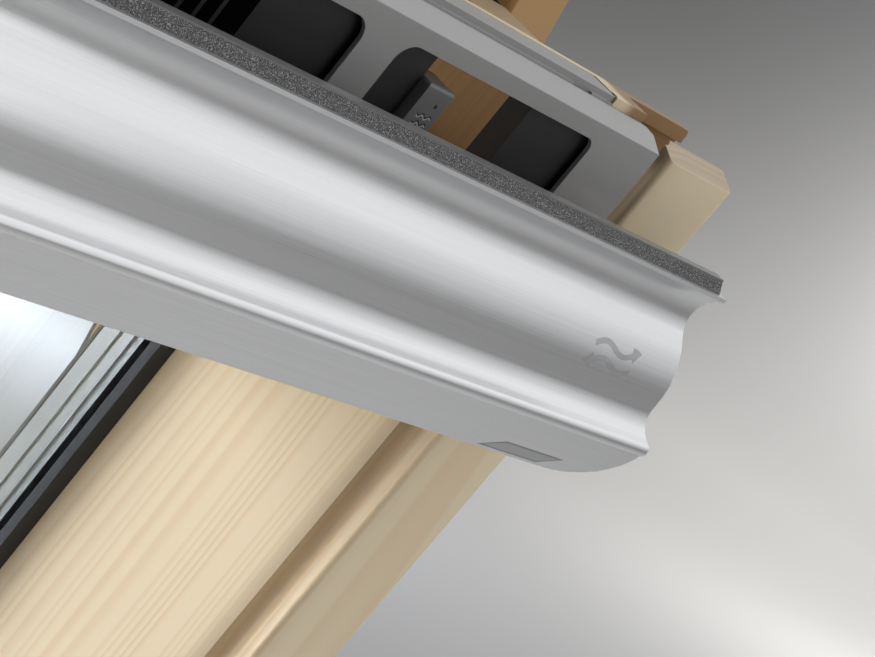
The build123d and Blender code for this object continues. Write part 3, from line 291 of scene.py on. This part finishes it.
def anodised_aluminium(name, light="E4E5E7", deep="D5D6D8"):
    """Extruded aluminium, satin anodised: fine draw lines along the bar and a soft sheen across it."""
    material, tree, surface = new_material(name, Metallic=1.0, Roughness=0.34)
    where = add(tree, "TexCoord", out="Object")
    across = 1 / (DRAW_LINE_MM[0] * MM)
    lines = add(tree, "Mapping", Vector=where, Scale=(1 / (DRAW_LINE_MM[1] * MM), across, across))
    drawn = add(tree, "TexNoise", Vector=lines, Scale=1.0, Detail=3.0, Roughness=0.65)
    grit = add(tree, "TexNoise", Vector=where, Scale=1 / (ETCH_GRIT_MM * MM), Detail=2.0, Roughness=0.7)
    mixed = add(tree, "Math", TIMES_PLUS, at_0=grit, at_1=0.5, at_2=drawn)
    rough = add(tree, "MapRange", Value=mixed, From_Min=0.4, From_Max=1.1, To_Min=0.29, To_Max=0.37)
    colour = add(tree, "ValToRGB", {"stops": [(0.4, deep), (1.0, light)]}, at_0=mixed)
    relief = add(tree, "Bump", Height=mixed, Strength=0.03, Distance=0.05 * MM)
    dress(tree, surface, Base_Color=colour, Roughness=rough, Normal=relief)
    return material


def fine_coat(name, low, high, roughness, metallic=0.0, grain_mm=0.5):
    """Sprayed, plated or moulded skin: even colour with a grain as fine as the finish leaves it."""
    material, tree, surface = new_material(name, Roughness=roughness, Metallic=metallic)
    where = add(tree, "TexCoord", out="Object")
    grain = add(tree, "TexNoise", Vector=where, Scale=1 / (grain_mm * MM), Detail=2.0, Roughness=0.6)
    cloud = add(tree, "TexNoise", Vector=where, Scale=14.0, Detail=2.0)
    mixed = add(tree, "Math", TIMES_PLUS, at_0=cloud, at_1=0.5, at_2=grain)
    colour = add(tree, "ValToRGB", {"stops": [(0.45, low), (1.05, high)]}, at_0=mixed)
    rough = add(tree, "MapRange", Value=mixed, From_Min=0.4, From_Max=1.1, To_Min=roughness - 0.05,
                To_Max=roughness + 0.05)
    relief = add(tree, "Bump", Height=grain, Strength=0.05, Distance=0.1 * MM)
    dress(tree, surface, Base_Color=colour, Roughness=rough, Normal=relief)
    return material


def closed_cell_foam(name):
    """Cut face of dark grey foam: dark pits between bubbles, with a few pale rims."""
    material, tree, surface = new_material(name, Roughness=0.9)
    where = add(tree, "TexCoord", out="Object")
    cells = add(tree, "TexVoronoi", Vector=where, Scale=1 / (BUBBLE_MM * MM))
    grain = add(tree, "TexNoise", Vector=where, Scale=1 / (BUBBLE_WALL_MM * MM), Detail=2.0)
    mixed = add(tree, "Math", TIMES, at_0=cells, at_1=grain)
    stops = [(0.08, "2C2C2D"), (0.28, "666667"), (0.5, "C0C0C0")]
    colour = add(tree, "ValToRGB", {"stops": stops}, at_0=mixed)
    relief = add(tree, "Bump", Height=mixed, Strength=0.6, Distance=0.15 * MM)
    dress(tree, surface, Base_Color=colour, Normal=relief)
    return material


def needled_fleece(name):
    """Grey filter fleece: matted fibres finer than a pixel, drawn as coarse as they need to show."""
    material, tree, surface = new_material(name, Roughness=0.95)
    where = add(tree, "TexCoord", out="Object")
    fibres = add(tree, "TexNoise", Vector=where, Scale=1 / (TANGLE_MM * MM), Detail=6.0, Roughness=0.7,
                 Distortion=2.0)
    colour = add(tree, "ValToRGB", {"stops": [(0.3, "4C4C4A"), (0.7, "82827E")]}, at_0=fibres)
    relief = add(tree, "Bump", Height=fibres, Strength=0.6, Distance=0.3 * MM)
    dress(tree, surface, Base_Color=colour, Normal=relief)
    return material


def float_glass(name):
    """Clear float glass with a faint green body. It lets shadow and bounce rays through, as glass does."""
    material, tree, surface = new_material(name, Roughness=0.0, IOR=1.5, Transmission_Weight=1.0,
                                           Base_Color=linear("F6FAFA"))
    shadow = add(tree, "LightPath", out="Is Shadow Ray")
    bounce = add(tree, "LightPath", out="Is Diffuse Ray")
    either = add(tree, "Math", LARGER, at_0=shadow, at_1=bounce)
    solid = add(tree, "MapRange", Value=either, To_Min=1.0, To_Max=GLASS_SHADE)
    dress(tree, surface, Alpha=solid)
    return material


# Shapes

# points this close together are one
WELD = 1e-6
# faces that meet at less than this are one flat face, and edges that turn more than this are hard
FLAT_DEG = 0.6
HARD_DEG = 30


def join_scene(name, mesh):
    """New object of the scene from a mesh."""
    piece = bpy.data.objects.new(name, mesh)
    bpy.context.scene.collection.objects.link(piece)
    return piece


def mesh_of(name, work, hard_deg=HARD_DEG):
    """Mesh from a bmesh, smooth across the edges that turn less than hard_deg."""
    mesh = bpy.data.meshes.new(name)
    for face in work.faces:
        face.smooth = True
    work.to_mesh(mesh)
    work.free()
    mesh.set_sharp_from_angle(angle=radians(hard_deg))
    return mesh


def eased(node, width_mm):
    """Copy of a CAD piece whose hard edges are broken by a small round, as a cutter or a press does."""
    work = bmesh.new()
    work.from_mesh(frame["nodes"][node].data)
    bmesh.ops.remove_doubles(work, verts=work.verts, dist=WELD)
    bmesh.ops.dissolve_limit(work, angle_limit=radians(FLAT_DEG), verts=work.verts, edges=work.edges)
    hard = [edge for edge in work.edges
            if len(edge.link_faces) == 2 and edge.calc_face_angle() > radians(HARD_DEG)]
    bmesh.ops.bevel(work, geom=hard, offset=width_mm * MM, segments=2, profile=0.6, affect="EDGES",
                    clamp_overlap=True)
    bmesh.ops.triangulate(work, faces=[face for face in work.faces if len(face.verts) > 4])
    piece = join_scene(node + "_finished", mesh_of(node + "_finished", work))
    # flat faces keep their own shading up to the round
    piece.modifiers.new("flat_faces", "WEIGHTED_NORMAL").keep_sharp = True
    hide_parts(node)
    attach(piece, body_of(node))
    return piece


def paint(piece, material):
    """Gives a piece its one material."""
    piece.data.materials.clear()
    piece.data.materials.append(material)


# Screws

SCREW_SIDES = 24
# the cross in a screw's face, in shares of its rim: arm, half an arm's width, depth, and floor to mouth
CROSS_ARM = 0.62
CROSS_HALF = 0.15
CROSS_DEPTH = 0.45
CROSS_TAPER = 0.6
# the covers' screws: radius, rise, distance from the cover's room edge, and shares along the cover
COVER_SCREW_MM = 4
COVER_SCREW_RISE_MM = 2
COVER_SCREW_INSET_MM = 14
JAMB_COVER_SHARES = (0.12, 0.5, 0.88)
HOOD_SHARES = (0.1, 0.5, 0.9)
# a pan head's outline from its top down, in shares of its radius and of its rise
PAN_HEAD = [(0.72, 1), (0.93, 0.75), (1, 0.35), (1, 0)]


def cross_head(work, place, way, profile):
    """Round screw in a bmesh: (radius, depth) from the rim of its face on, with a cross in the face."""
    turn = way.to_track_quat("Z", "Y").to_matrix()

    def put(points):
        return [work.verts.new(place + turn @ Vector(point)) for point in points]

    rings = [put([(r * cos(2 * pi * i / SCREW_SIDES), r * sin(2 * pi * i / SCREW_SIDES), z)
                  for i in range(SCREW_SIDES)]) for r, z in profile]
    for upper, lower in zip(rings, rings[1:]):
        for i in range(SCREW_SIDES):
            j = (i + 1) % SCREW_SIDES
            work.faces.new((upper[i], upper[j], lower[j], lower[i]))
    work.faces.new(rings[-1][::-1])
    rim, face = profile[0]
    arm, half = CROSS_ARM * rim, CROSS_HALF * rim
    quarter = [(arm, -half), (arm, half), (half, half)]
    turns = [(1, 0), (0, 1), (-1, 0), (0, -1)]
    cross = [(c * x - s * y, s * x + c * y) for c, s in turns for x, y in quarter]
    mouth = put([(x, y, face) for x, y in cross])
    floor = put([(CROSS_TAPER * x, CROSS_TAPER * y, face + CROSS_DEPTH * rim) for x, y in cross])
    for i in range(len(cross)):
        j = (i + 1) % len(cross)
        work.faces.new((mouth[j], mouth[i], floor[i], floor[j]))
    work.faces.new(floor)
    loops = rings[0] + mouth
    for triple in tessellate_polygon([[v.co for v in rings[0]], [v.co for v in mouth]]):
        work.faces.new([loops[k] for k in triple])


def drawn_screws(node):
    """Place, way in, head radius and length of each screw in a CAD node, from its separate solids."""
    work = bmesh.new()
    work.from_mesh(frame["nodes"][node].data)
    bmesh.ops.remove_doubles(work, verts=work.verts, dist=WELD)
    left = set(work.verts)
    screws = []
    while left:
        island, front = set(), [left.pop()]
        while front:
            vert = front.pop()
            island.add(vert)
            near = {edge.other_vert(vert) for edge in vert.link_edges} & left
            left -= near
            front.extend(near)
        points = [vert.co for vert in island]
        low = Vector([min(p[k] for p in points) for k in range(3)])
        high = Vector([max(p[k] for p in points) for k in range(3)])
        middle = (low + high) / 2
        size = high - low
        k = max(range(3), key=lambda axis: size[axis])
        # the head is at the wider of the two ends
        ends = []
        for value, way in ((low[k], 1), (high[k], -1)):
            end = [p for p in points if abs(p[k] - value) < 10 * WELD]
            spread = max((Vector([p[i] - middle[i] for i in range(3) if i != k])).length for p in end)
            ends.append((spread, value, way))
        radius, value, sign = max(ends)
        middle[k] = value
        way = Vector([sign if i == k else 0 for i in range(3)])
        screws.append((middle, way, radius, size[k]))
    work.free()
    return sorted(screws, key=lambda screw: tuple(screw[0]))


def countersunk_screws(node, material):
    """Round cross-head screws in place of the plain ones of a CAD node."""
    work = bmesh.new()
    for place, way, head, length in drawn_screws(node):
        shank = head / 2
        # a flat face with a broken rim, the cone, the shank and a point
        cross_head(work, place, way, [(0.95 * head, 0), (head, 0.08 * head), (shank, shank),
                                      (shank, length - 2 * shank), (0.2 * shank, length)])
    bmesh.ops.recalc_face_normals(work, faces=work.faces)
    piece = join_scene(node + "_finished", mesh_of(node + "_finished", work))
    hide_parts(node)
    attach(piece, body_of(node))
    paint(piece, material)


def cover_screws(material):
    """Pan-head screws that hold the outer sheet covers to the frame."""
    work = bmesh.new()
    radius = COVER_SCREW_MM * MM
    rise = COVER_SCREW_RISE_MM * MM
    inset = COVER_SCREW_INSET_MM * MM
    profile = [(across * radius, -up * rise) for across, up in PAN_HEAD]
    for node, side in (("jamb_cover_left", 1), ("jamb_cover_right", -1)):
        low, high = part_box(node)
        x = low[0] if side > 0 else high[0]
        for share in JAMB_COVER_SHARES:
            place = Vector((x, low[1] + inset, low[2] + share * (high[2] - low[2])))
            cross_head(work, place, Vector((side, 0, 0)), profile)
    low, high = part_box("hood")
    for share in HOOD_SHARES:
        place = Vector((low[0] + share * (high[0] - low[0]), low[1] + inset, high[2]))
        cross_head(work, place, Vector((0, 0, -1)), profile)
    bmesh.ops.recalc_face_normals(work, faces=work.faces)
    piece = join_scene("cover_screws", mesh_of("cover_screws", work))
    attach(piece, body_of("hood"))
    paint(piece, material)


# Marks on the bar and the catch

# a mark is laid on from this far into the room
ROOM_SIDE_MM = -80
# corners of a mark this close together are one
MARK_WELD = 1e-7
# middle of the pair of arrows
ARROWS_MM = (317.2, 52.65)
# left, right, top and bottom of a bare plate and how far its top leans to the right of its bottom
PLATE_EDGE_MM = (282.4, 312.9, 85.7, 89.6, 10.3)
PLATE_FACE_MM = (284.0, 312.2, 86.2, 89.1, 8.9)
PLATE_FACE_PROUD_MM = 0.05
# drops of the catch's two waves, each a painted highlight on its crest, and of the painted shadow in the
# groove over each
WAVE_DROPS_MM = (21.2, 23.6)
WAVE_SHADOW_MM = 0.5
# place and radius of the catch's dimple, its shade painted as a black disc
DIMPLE_MM = (212.6, 17.2, 0.6)


def drape(name, node, columns, proud_mm=0.03):
    """Thin skin on a node's room face, from rows of (across_mm, drop_mm) laid onto it along its depth."""
    mesh = frame["nodes"][node].data
    tree = BVHTree.FromPolygons([vert.co for vert in mesh.vertices],
                                [face.vertices for face in mesh.polygons])
    work = bmesh.new()
    rows = []
    for column in columns:
        row = []
        for across_mm, drop_mm in column:
            hit = tree.ray_cast(sash_point(across_mm, ROOM_SIDE_MM, drop_mm), INTO_SASH)
            row.append(work.verts.new(hit[0] + hit[1] * proud_mm * MM))
        rows.append(row)
    for first, second in zip(rows, rows[1:]):
        for i in range(len(first) - 1):
            work.faces.new((first[i], first[i + 1], second[i + 1], second[i]))
    bmesh.ops.remove_doubles(work, verts=work.verts, dist=MARK_WELD)
    bmesh.ops.recalc_face_normals(work, faces=work.faces)
    piece = join_scene(name, mesh_of(name, work))
    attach(piece, body_of(node))
    return piece


def air_arrow(middle_mm, way):
    """Rows across a wavy arrow for "air passes": way 1 points right and up, -1 left and down."""
    swell_mm, pitch_mm, crest_mm, level_mm = 1.25, 20.2, -5.8, -2.4
    start_mm, end_mm = -11.3, 13.9
    half_mm, head_mm, head_half_mm = 0.8, 4.6, 2.3
    steps = 42
    rows = []
    for i in range(steps + 1):
        x = start_mm + (end_mm - start_mm) * i / steps
        y = level_mm - swell_mm * cos(2 * pi * (x - crest_mm) / pitch_mm)
        slope = swell_mm * 2 * pi / pitch_mm * sin(2 * pi * (x - crest_mm) / pitch_mm)
        left = end_mm - x
        wide = half_mm if left > head_mm else head_half_mm * left / head_mm
        row = [(x - slope * t * wide, y + t * wide) for t in (-1, -0.5, 0, 0.5, 1)]
        rows.append([(middle_mm[0] + way * a, middle_mm[1] + way * b) for a, b in row])
    return rows


def slanted_plate(left_mm, right_mm, top_mm, bottom_mm, lean_mm):
    """Rows of a leaning four-sided plate."""
    steps, parts = 12, 4
    wide_mm, tall_mm = right_mm - left_mm, bottom_mm - top_mm
    return [[(left_mm + wide_mm * i / steps + lean_mm * (1 - k / parts), top_mm + tall_mm * k / parts)
             for k in range(parts + 1)] for i in range(steps + 1)]


def catch_wave(drop_mm):
    """Rows of a small wavy line on the catch."""
    start_mm, step_mm, swell_mm, half_mm, turn = 208.2, 0.5, 0.5, 0.22, 1.05
    return [[(start_mm + step_mm * i, drop_mm + swell_mm * sin(turn * i) + half_mm * t) for t in (-1, 0, 1)]
            for i in range(13)]


def catch_dimple(across_mm, drop_mm, radius_mm):
    """Rows of a small round mark on the catch."""
    turns = [2 * pi * i / 16 for i in range(17)]
    return [[(across_mm + radius_mm * share * cos(a), drop_mm + radius_mm * share * sin(a))
             for share in (0, 0.5, 1)] for a in turns]


# Finishes of this window

# slate grey coat on the outer covers: dull, with a faint orange peel
lacquer = fine_coat("powder_coated_aluminium", "474B4E", "505457", 0.45, grain_mm=0.8)
# brackets, hinges and screws: cool grey metal with a cloudy sheen
zinc = fine_coat("zinc_plated_steel", "A9ACAB", "C0C2C1", 0.35, metallic=1.0, grain_mm=1.5)
# vent channel: even mid grey with a slight metal glint
channel_paint = fine_coat("silver_grey_paint", "A2A2A2", "AEAEAE", 0.4, metallic=0.35, grain_mm=0.4)
# end blocks and cassette: near black, low sheen
black = fine_coat("black_nylon", "1B1B1C", "232324", 0.5)
# filter catch: smooth mid grey, a little glossier
catch_grey = fine_coat("grey_acetal", "6E6E6F", "7A7A7B", 0.38)
# gaskets and seals: black and dull
rubber = fine_coat("black_rubber", "1E2022", "282A2C", 0.6)
# bar: pale, satin, with draw lines
aluminium = anodised_aluminium("anodised_aluminium")
# spacer bar between the panes: greyer than the bar
mill = anodised_aluminium("mill_finish_aluminium", "A9ABAB", "989A9A")
# arrows and plate on the bar: a shade darker and duller than the bar
etched = fine_coat("etched_aluminium", "B2B3B5", "BCBDBF", 0.45, metallic=0.8, grain_mm=0.3)
plate_edge = fine_coat("plate_edge_aluminium", "9A9B9D", "A2A3A5", 0.45, metallic=0.8, grain_mm=0.3)
plate_face = fine_coat("plate_face_aluminium", "B4B5B7", "BEBFC1", 0.4, metallic=0.9, grain_mm=0.3)
# foam seal on the bar and the grey film on its top
foam = closed_cell_foam("closed_cell_foam")
film = fine_coat("foam_film", "868687", "969697", 0.35, metallic=0.6, grain_mm=0.6)
# painted highlight on the crests of the catch's grip
wave_highlight = fine_coat("painted_highlight_acetal", "C4C4C4", "D0D0D0", 0.35, grain_mm=0.3)
fleece = needled_fleece("needled_fleece")
glass = float_glass("float_glass")

# slot: finish and width of its eased edges in mm, 0 where the CAD piece itself is shown
PLAIN = {"sheet_cover": (lacquer, 0.4), "zinc_steel": (zinc, 0.3), "gasket": (rubber, 0.3),
         "glass": (glass, 0), "spacer": (mill, 0), "channel_grey": (channel_paint, 0.25),
         "black_plastic": (black, 0.25), "catch_plastic": (catch_grey, 0.3), "fleece": (fleece, 0),
         "anodised": (aluminium, 0.55), "foam": (foam, 0), "foam_film": (film, 0),
         "washer_plastic": (black, 0.2), "bush_plastic": (black, 0.2)}
TIMBER_EDGE_MM = 0.8
# timber: direction of its grain, seed of its rings, whether it swings with the sash, and, in mm from the
# sash's pivot, where the heart of its trunk lay and the axis of the groove along its inner edge
TIMBERS = {"frame_head": ("X", 1, False, (140, 430), None),
           "frame_sill": ("X", 2, False, (140, -450), None),
           "frame_jamb_left": ("Z", 3, False, (-400, 170), None),
           "frame_jamb_right": ("Z", 4, False, (400, 170), None),
           "stile_left": ("Z", 5, True, (-345, -170), (-315, -50)),
           "stile_right": ("Z", 6, True, (345, -170), (315, -50)),
           "top_rail": ("X", 7, True, (-160, 400), (-50, 346)),
           "bottom_rail": ("X", 8, True, (-160, -410), (-50, -388)),
           "head_strip": ("X", 9, True, (-110, 420), None)}
# the frame's timber is painted a darker honey colour than the sash's pale one, as painted shade, and the
# strip on the sash's head ends in a painted darker brown
SHADED_FRAME_TIMBER = {"early": "BE9864", "late": "946D3D"}
SASH_TIMBER = {"head_strip": {"shaded_end_mm": 294}}

for node, slot in SLOTS.items():
    if slot == "pine":
        tint = SASH_TIMBER.get(node, {}) if TIMBERS[node][2] else SHADED_FRAME_TIMBER
        pine = lacquered_pine(f"pine_{node}", *TIMBERS[node], **tint)
        paint(eased(node, TIMBER_EDGE_MM), pine)
    elif slot == "screw_steel":
        countersunk_screws(node, zinc)
    elif PLAIN[slot][1]:
        paint(eased(node, PLAIN[slot][1]), PLAIN[slot][0])
    else:
        paint(frame["nodes"][node], PLAIN[slot][0])
cover_screws(zinc)

for name, way in (("air_arrow_right", 1), ("air_arrow_left", -1)):
    paint(drape(name, "control_bar", air_arrow(ARROWS_MM, way)), etched)
plate = drape("bare_plate_edge", "control_bar", slanted_plate(*PLATE_EDGE_MM))
paint(plate, plate_edge)
plate = drape("bare_plate", "control_bar", slanted_plate(*PLATE_FACE_MM), PLATE_FACE_PROUD_MM)
paint(plate, plate_face)
# each wave: a pale strip of painted highlight on its crest and a black strip of painted shadow in its
# groove
for number, drop_mm in enumerate(WAVE_DROPS_MM):
    lit_crest = drape(f"catch_wave_{number}", "filter_catch", catch_wave(drop_mm))
    paint(lit_crest, wave_highlight)
    groove_shade = drape(f"catch_groove_{number}", "filter_catch", catch_wave(drop_mm - WAVE_SHADOW_MM))
    paint(groove_shade, black)
# the dimple's shade, painted as a black disc
paint(drape("catch_dimple", "filter_catch", catch_dimple(*DIMPLE_MM)), black)


# Studio

# name: place, what it faces, size in metres, watts, colour, whether polished surfaces mirror it
LIGHTS = {
    "front_panel": ((1.25, -2.75, 1.2), (0.2, -0.1, 0.85), 1.6, 10, "FFFFFF"),
    "sky_panel": ((-1.4, 1.9, 1.4), (0.3, -0.05, 0.75), 1.6, 112, "F6F9FF", False),
    "wall_pool": ((7.7, 2.3, 1.5), (8.1, 4.3, 0.9), 0.8, 125, "FFFFFF"),
    "floor_pool": ((5.4, 1.5, 1.5), (5.35, 1.7, 0.0), 1.0, 52, "FFFFFF"),
    "pane_floor": ((2.9, 3.0, 0.55), (2.85, 2.75, 0.0), 0.7, 18, "E8EEFF"),
}
# the one broad light: towards the right of the window, high up, fading out over 40 degrees
GLOW_WAY = (0.52, -0.242, 0.819)
GLOW_STRENGTH = 1.25
GLOW_STOPS = [(0.0, "101010"), (0.33, "121212"), (0.4, "2A2A2A"), (0.49, "7C7C7C"), (0.559, "9C9C9C"),
              (0.695, "BABABA"), (0.809, "D4D4D4"), (0.866, "F2F2F2")]
# on the shut sash: where the paper's glow is judged from, and the camera with its two directions
GLOW_SEEN_MM = (300, 0, 60)
CAMERA_MM = (-288, -392, -92)
CAMERA_RIGHT = (0.56204, -0.5469, 0.62049)
CAMERA_UP = (-0.2145, 0.62815, 0.74794)
SENSOR_MM = 36
LENS_MM = 102.86
CLIP_START = 0.02
# the paper floor's reach, the bend up into its wall, the wall's height and its sides
PAPER_REACH = 9.0
PAPER_BEND = 3.0
PAPER_HEIGHT = 9.0
PAPER_SIDES = 96
PAPER_BEND_STEPS = 16
PAPER_HARD_DEG = 60
# rings of the flat floor, and how far it lies under the window
FLOOR_RINGS = (1.5, 3.0, 4.5)
PAPER_BELOW_MM = 0.5
# the glow fades in over this height
GLOW_FULL_AT = 1.2
# painted shade in the paper's colour: palest under the window, grey up the wall, in shares of the reach
PAPER_PAINTED_SHADE = [(0.16, "D6D5D3"), (0.34, "A8A7A5"), (0.76, "A8A7A5"), (0.985, "505050")]


def photo_camera():
    """Camera at the photograph's place: close to the upper right corner, rolled with the bar."""
    data = bpy.data.cameras.new("photo_camera")
    data.sensor_width = SENSOR_MM
    data.lens = LENS_MM
    data.clip_start = CLIP_START
    right = Vector(CAMERA_RIGHT)
    up = Vector(CAMERA_UP)
    turn = Matrix((right, up, right.cross(up))).transposed().to_4x4()
    camera = bpy.data.objects.new("photo_camera", data)
    camera.matrix_world = Matrix.Translation(sash_point(*CAMERA_MM)) @ SWING.to_3x3().to_4x4() @ turn
    bpy.context.scene.collection.objects.link(camera)
    bpy.context.scene.camera = camera


def glow(tree, way):
    """Brightness of the studio's surroundings in a direction."""
    near = add(tree, "VectorMath", DOT, out="Value", at_0=way, at_1=GLOW_WAY)
    return add(tree, "ValToRGB", {"stops": GLOW_STOPS}, at_0=near)


def paper_mesh():
    """Round floor that curves up into a wall, as one mesh."""
    work = bmesh.new()
    bends = [pi / 2 * i / PAPER_BEND_STEPS for i in range(1, PAPER_BEND_STEPS + 1)]
    start = PAPER_REACH - PAPER_BEND
    outline = [(r, 0.0) for r in (*FLOOR_RINGS, start)]
    outline += [(start + PAPER_BEND * sin(a), PAPER_BEND - PAPER_BEND * cos(a)) for a in bends]
    outline += [(PAPER_REACH, PAPER_HEIGHT)]
    sides = [2 * pi * i / PAPER_SIDES for i in range(PAPER_SIDES)]
    centre = work.verts.new((0, 0, 0))
    rows = [[work.verts.new((r * cos(a), r * sin(a), z)) for r, z in outline] for a in sides]
    for first, second in zip(rows, rows[1:] + rows[:1]):
        work.faces.new((centre, first[0], second[0]))
        for j in range(len(outline) - 1):
            work.faces.new((first[j], first[j + 1], second[j + 1], second[j]))
    return mesh_of("studio_paper", work, PAPER_HARD_DEG)


def studio_paper():
    """Pale paper floor that curves up into a round wall on every side, and glows softly; painted shade
    greys it up the wall.
    """
    paper = join_scene("studio_paper", paper_mesh())
    paper.location.z = -PAPER_BELOW_MM * MM
    material, tree, surface = new_material("studio_paper", Roughness=0.9, Specular_IOR_Level=0.1,
                                           Emission_Strength=GLOW_STRENGTH)
    where = add(tree, "NewGeometry", out="Position")
    way = add(tree, "VectorMath", MINUS, at_0=where, at_1=sash_point(*GLOW_SEEN_MM))
    way = add(tree, "VectorMath", {"operation": "NORMALIZE"}, at_0=way)
    # the floor itself doesn't glow: it fades in over the foot of the wall
    height = add(tree, "SeparateXYZ", out="Z", Vector=where)
    wall = add(tree, "MapRange", SMOOTH, Value=height, From_Min=0.0, From_Max=GLOW_FULL_AT)
    light = add(tree, "Mix", TWO_COLOURS, out=2, at_0=wall, at_6=(0, 0, 0, 1), at_7=glow(tree, way))
    flat = add(tree, "VectorMath", TIMES, at_0=where, at_1=(1 / PAPER_REACH, 1 / PAPER_REACH, 0))
    out = add(tree, "VectorMath", LENGTH, out="Value", at_0=flat)
    paper_shade = add(tree, "ValToRGB", {"stops": PAPER_PAINTED_SHADE}, at_0=out)
    dress(tree, surface, Base_Color=paper_shade, Emission_Color=light)
    paper.data.materials.append(material)


def soft_light(name, place, target, size, power, colour, mirrored=True):
    """Square soft light at a place, facing a target. It shows only through glass and, if mirrored, in
    reflections."""
    data = bpy.data.lights.new(name, "AREA")
    data.shape = "SQUARE"
    data.size = size
    data.energy = power
    data.color = linear(colour)[:3]
    lamp = bpy.data.objects.new(name, data)
    lamp.location = place
    lamp.rotation_mode = "QUATERNION"
    lamp.rotation_quaternion = (Vector(target) - Vector(place)).to_track_quat("-Z", "Y")
    lamp.visible_camera = False
    lamp.visible_glossy = mirrored
    bpy.context.scene.collection.objects.link(lamp)


def studio_world():
    """The same soft surroundings above the paper wall."""
    world = bpy.data.worlds.new("studio")
    world.use_nodes = True
    tree = world.node_tree
    background = tree.nodes["Background"]
    tree.links.new(glow(tree, add(tree, "TexCoord", out="Generated")), background.inputs["Color"])
    background.inputs["Strength"].default_value = GLOW_STRENGTH
    bpy.context.scene.world = world


bpy.context.scene.view_settings.view_transform = "Standard"
photo_camera()
studio_paper()
studio_world()
for name, settings in LIGHTS.items():
    soft_light(name, *settings)
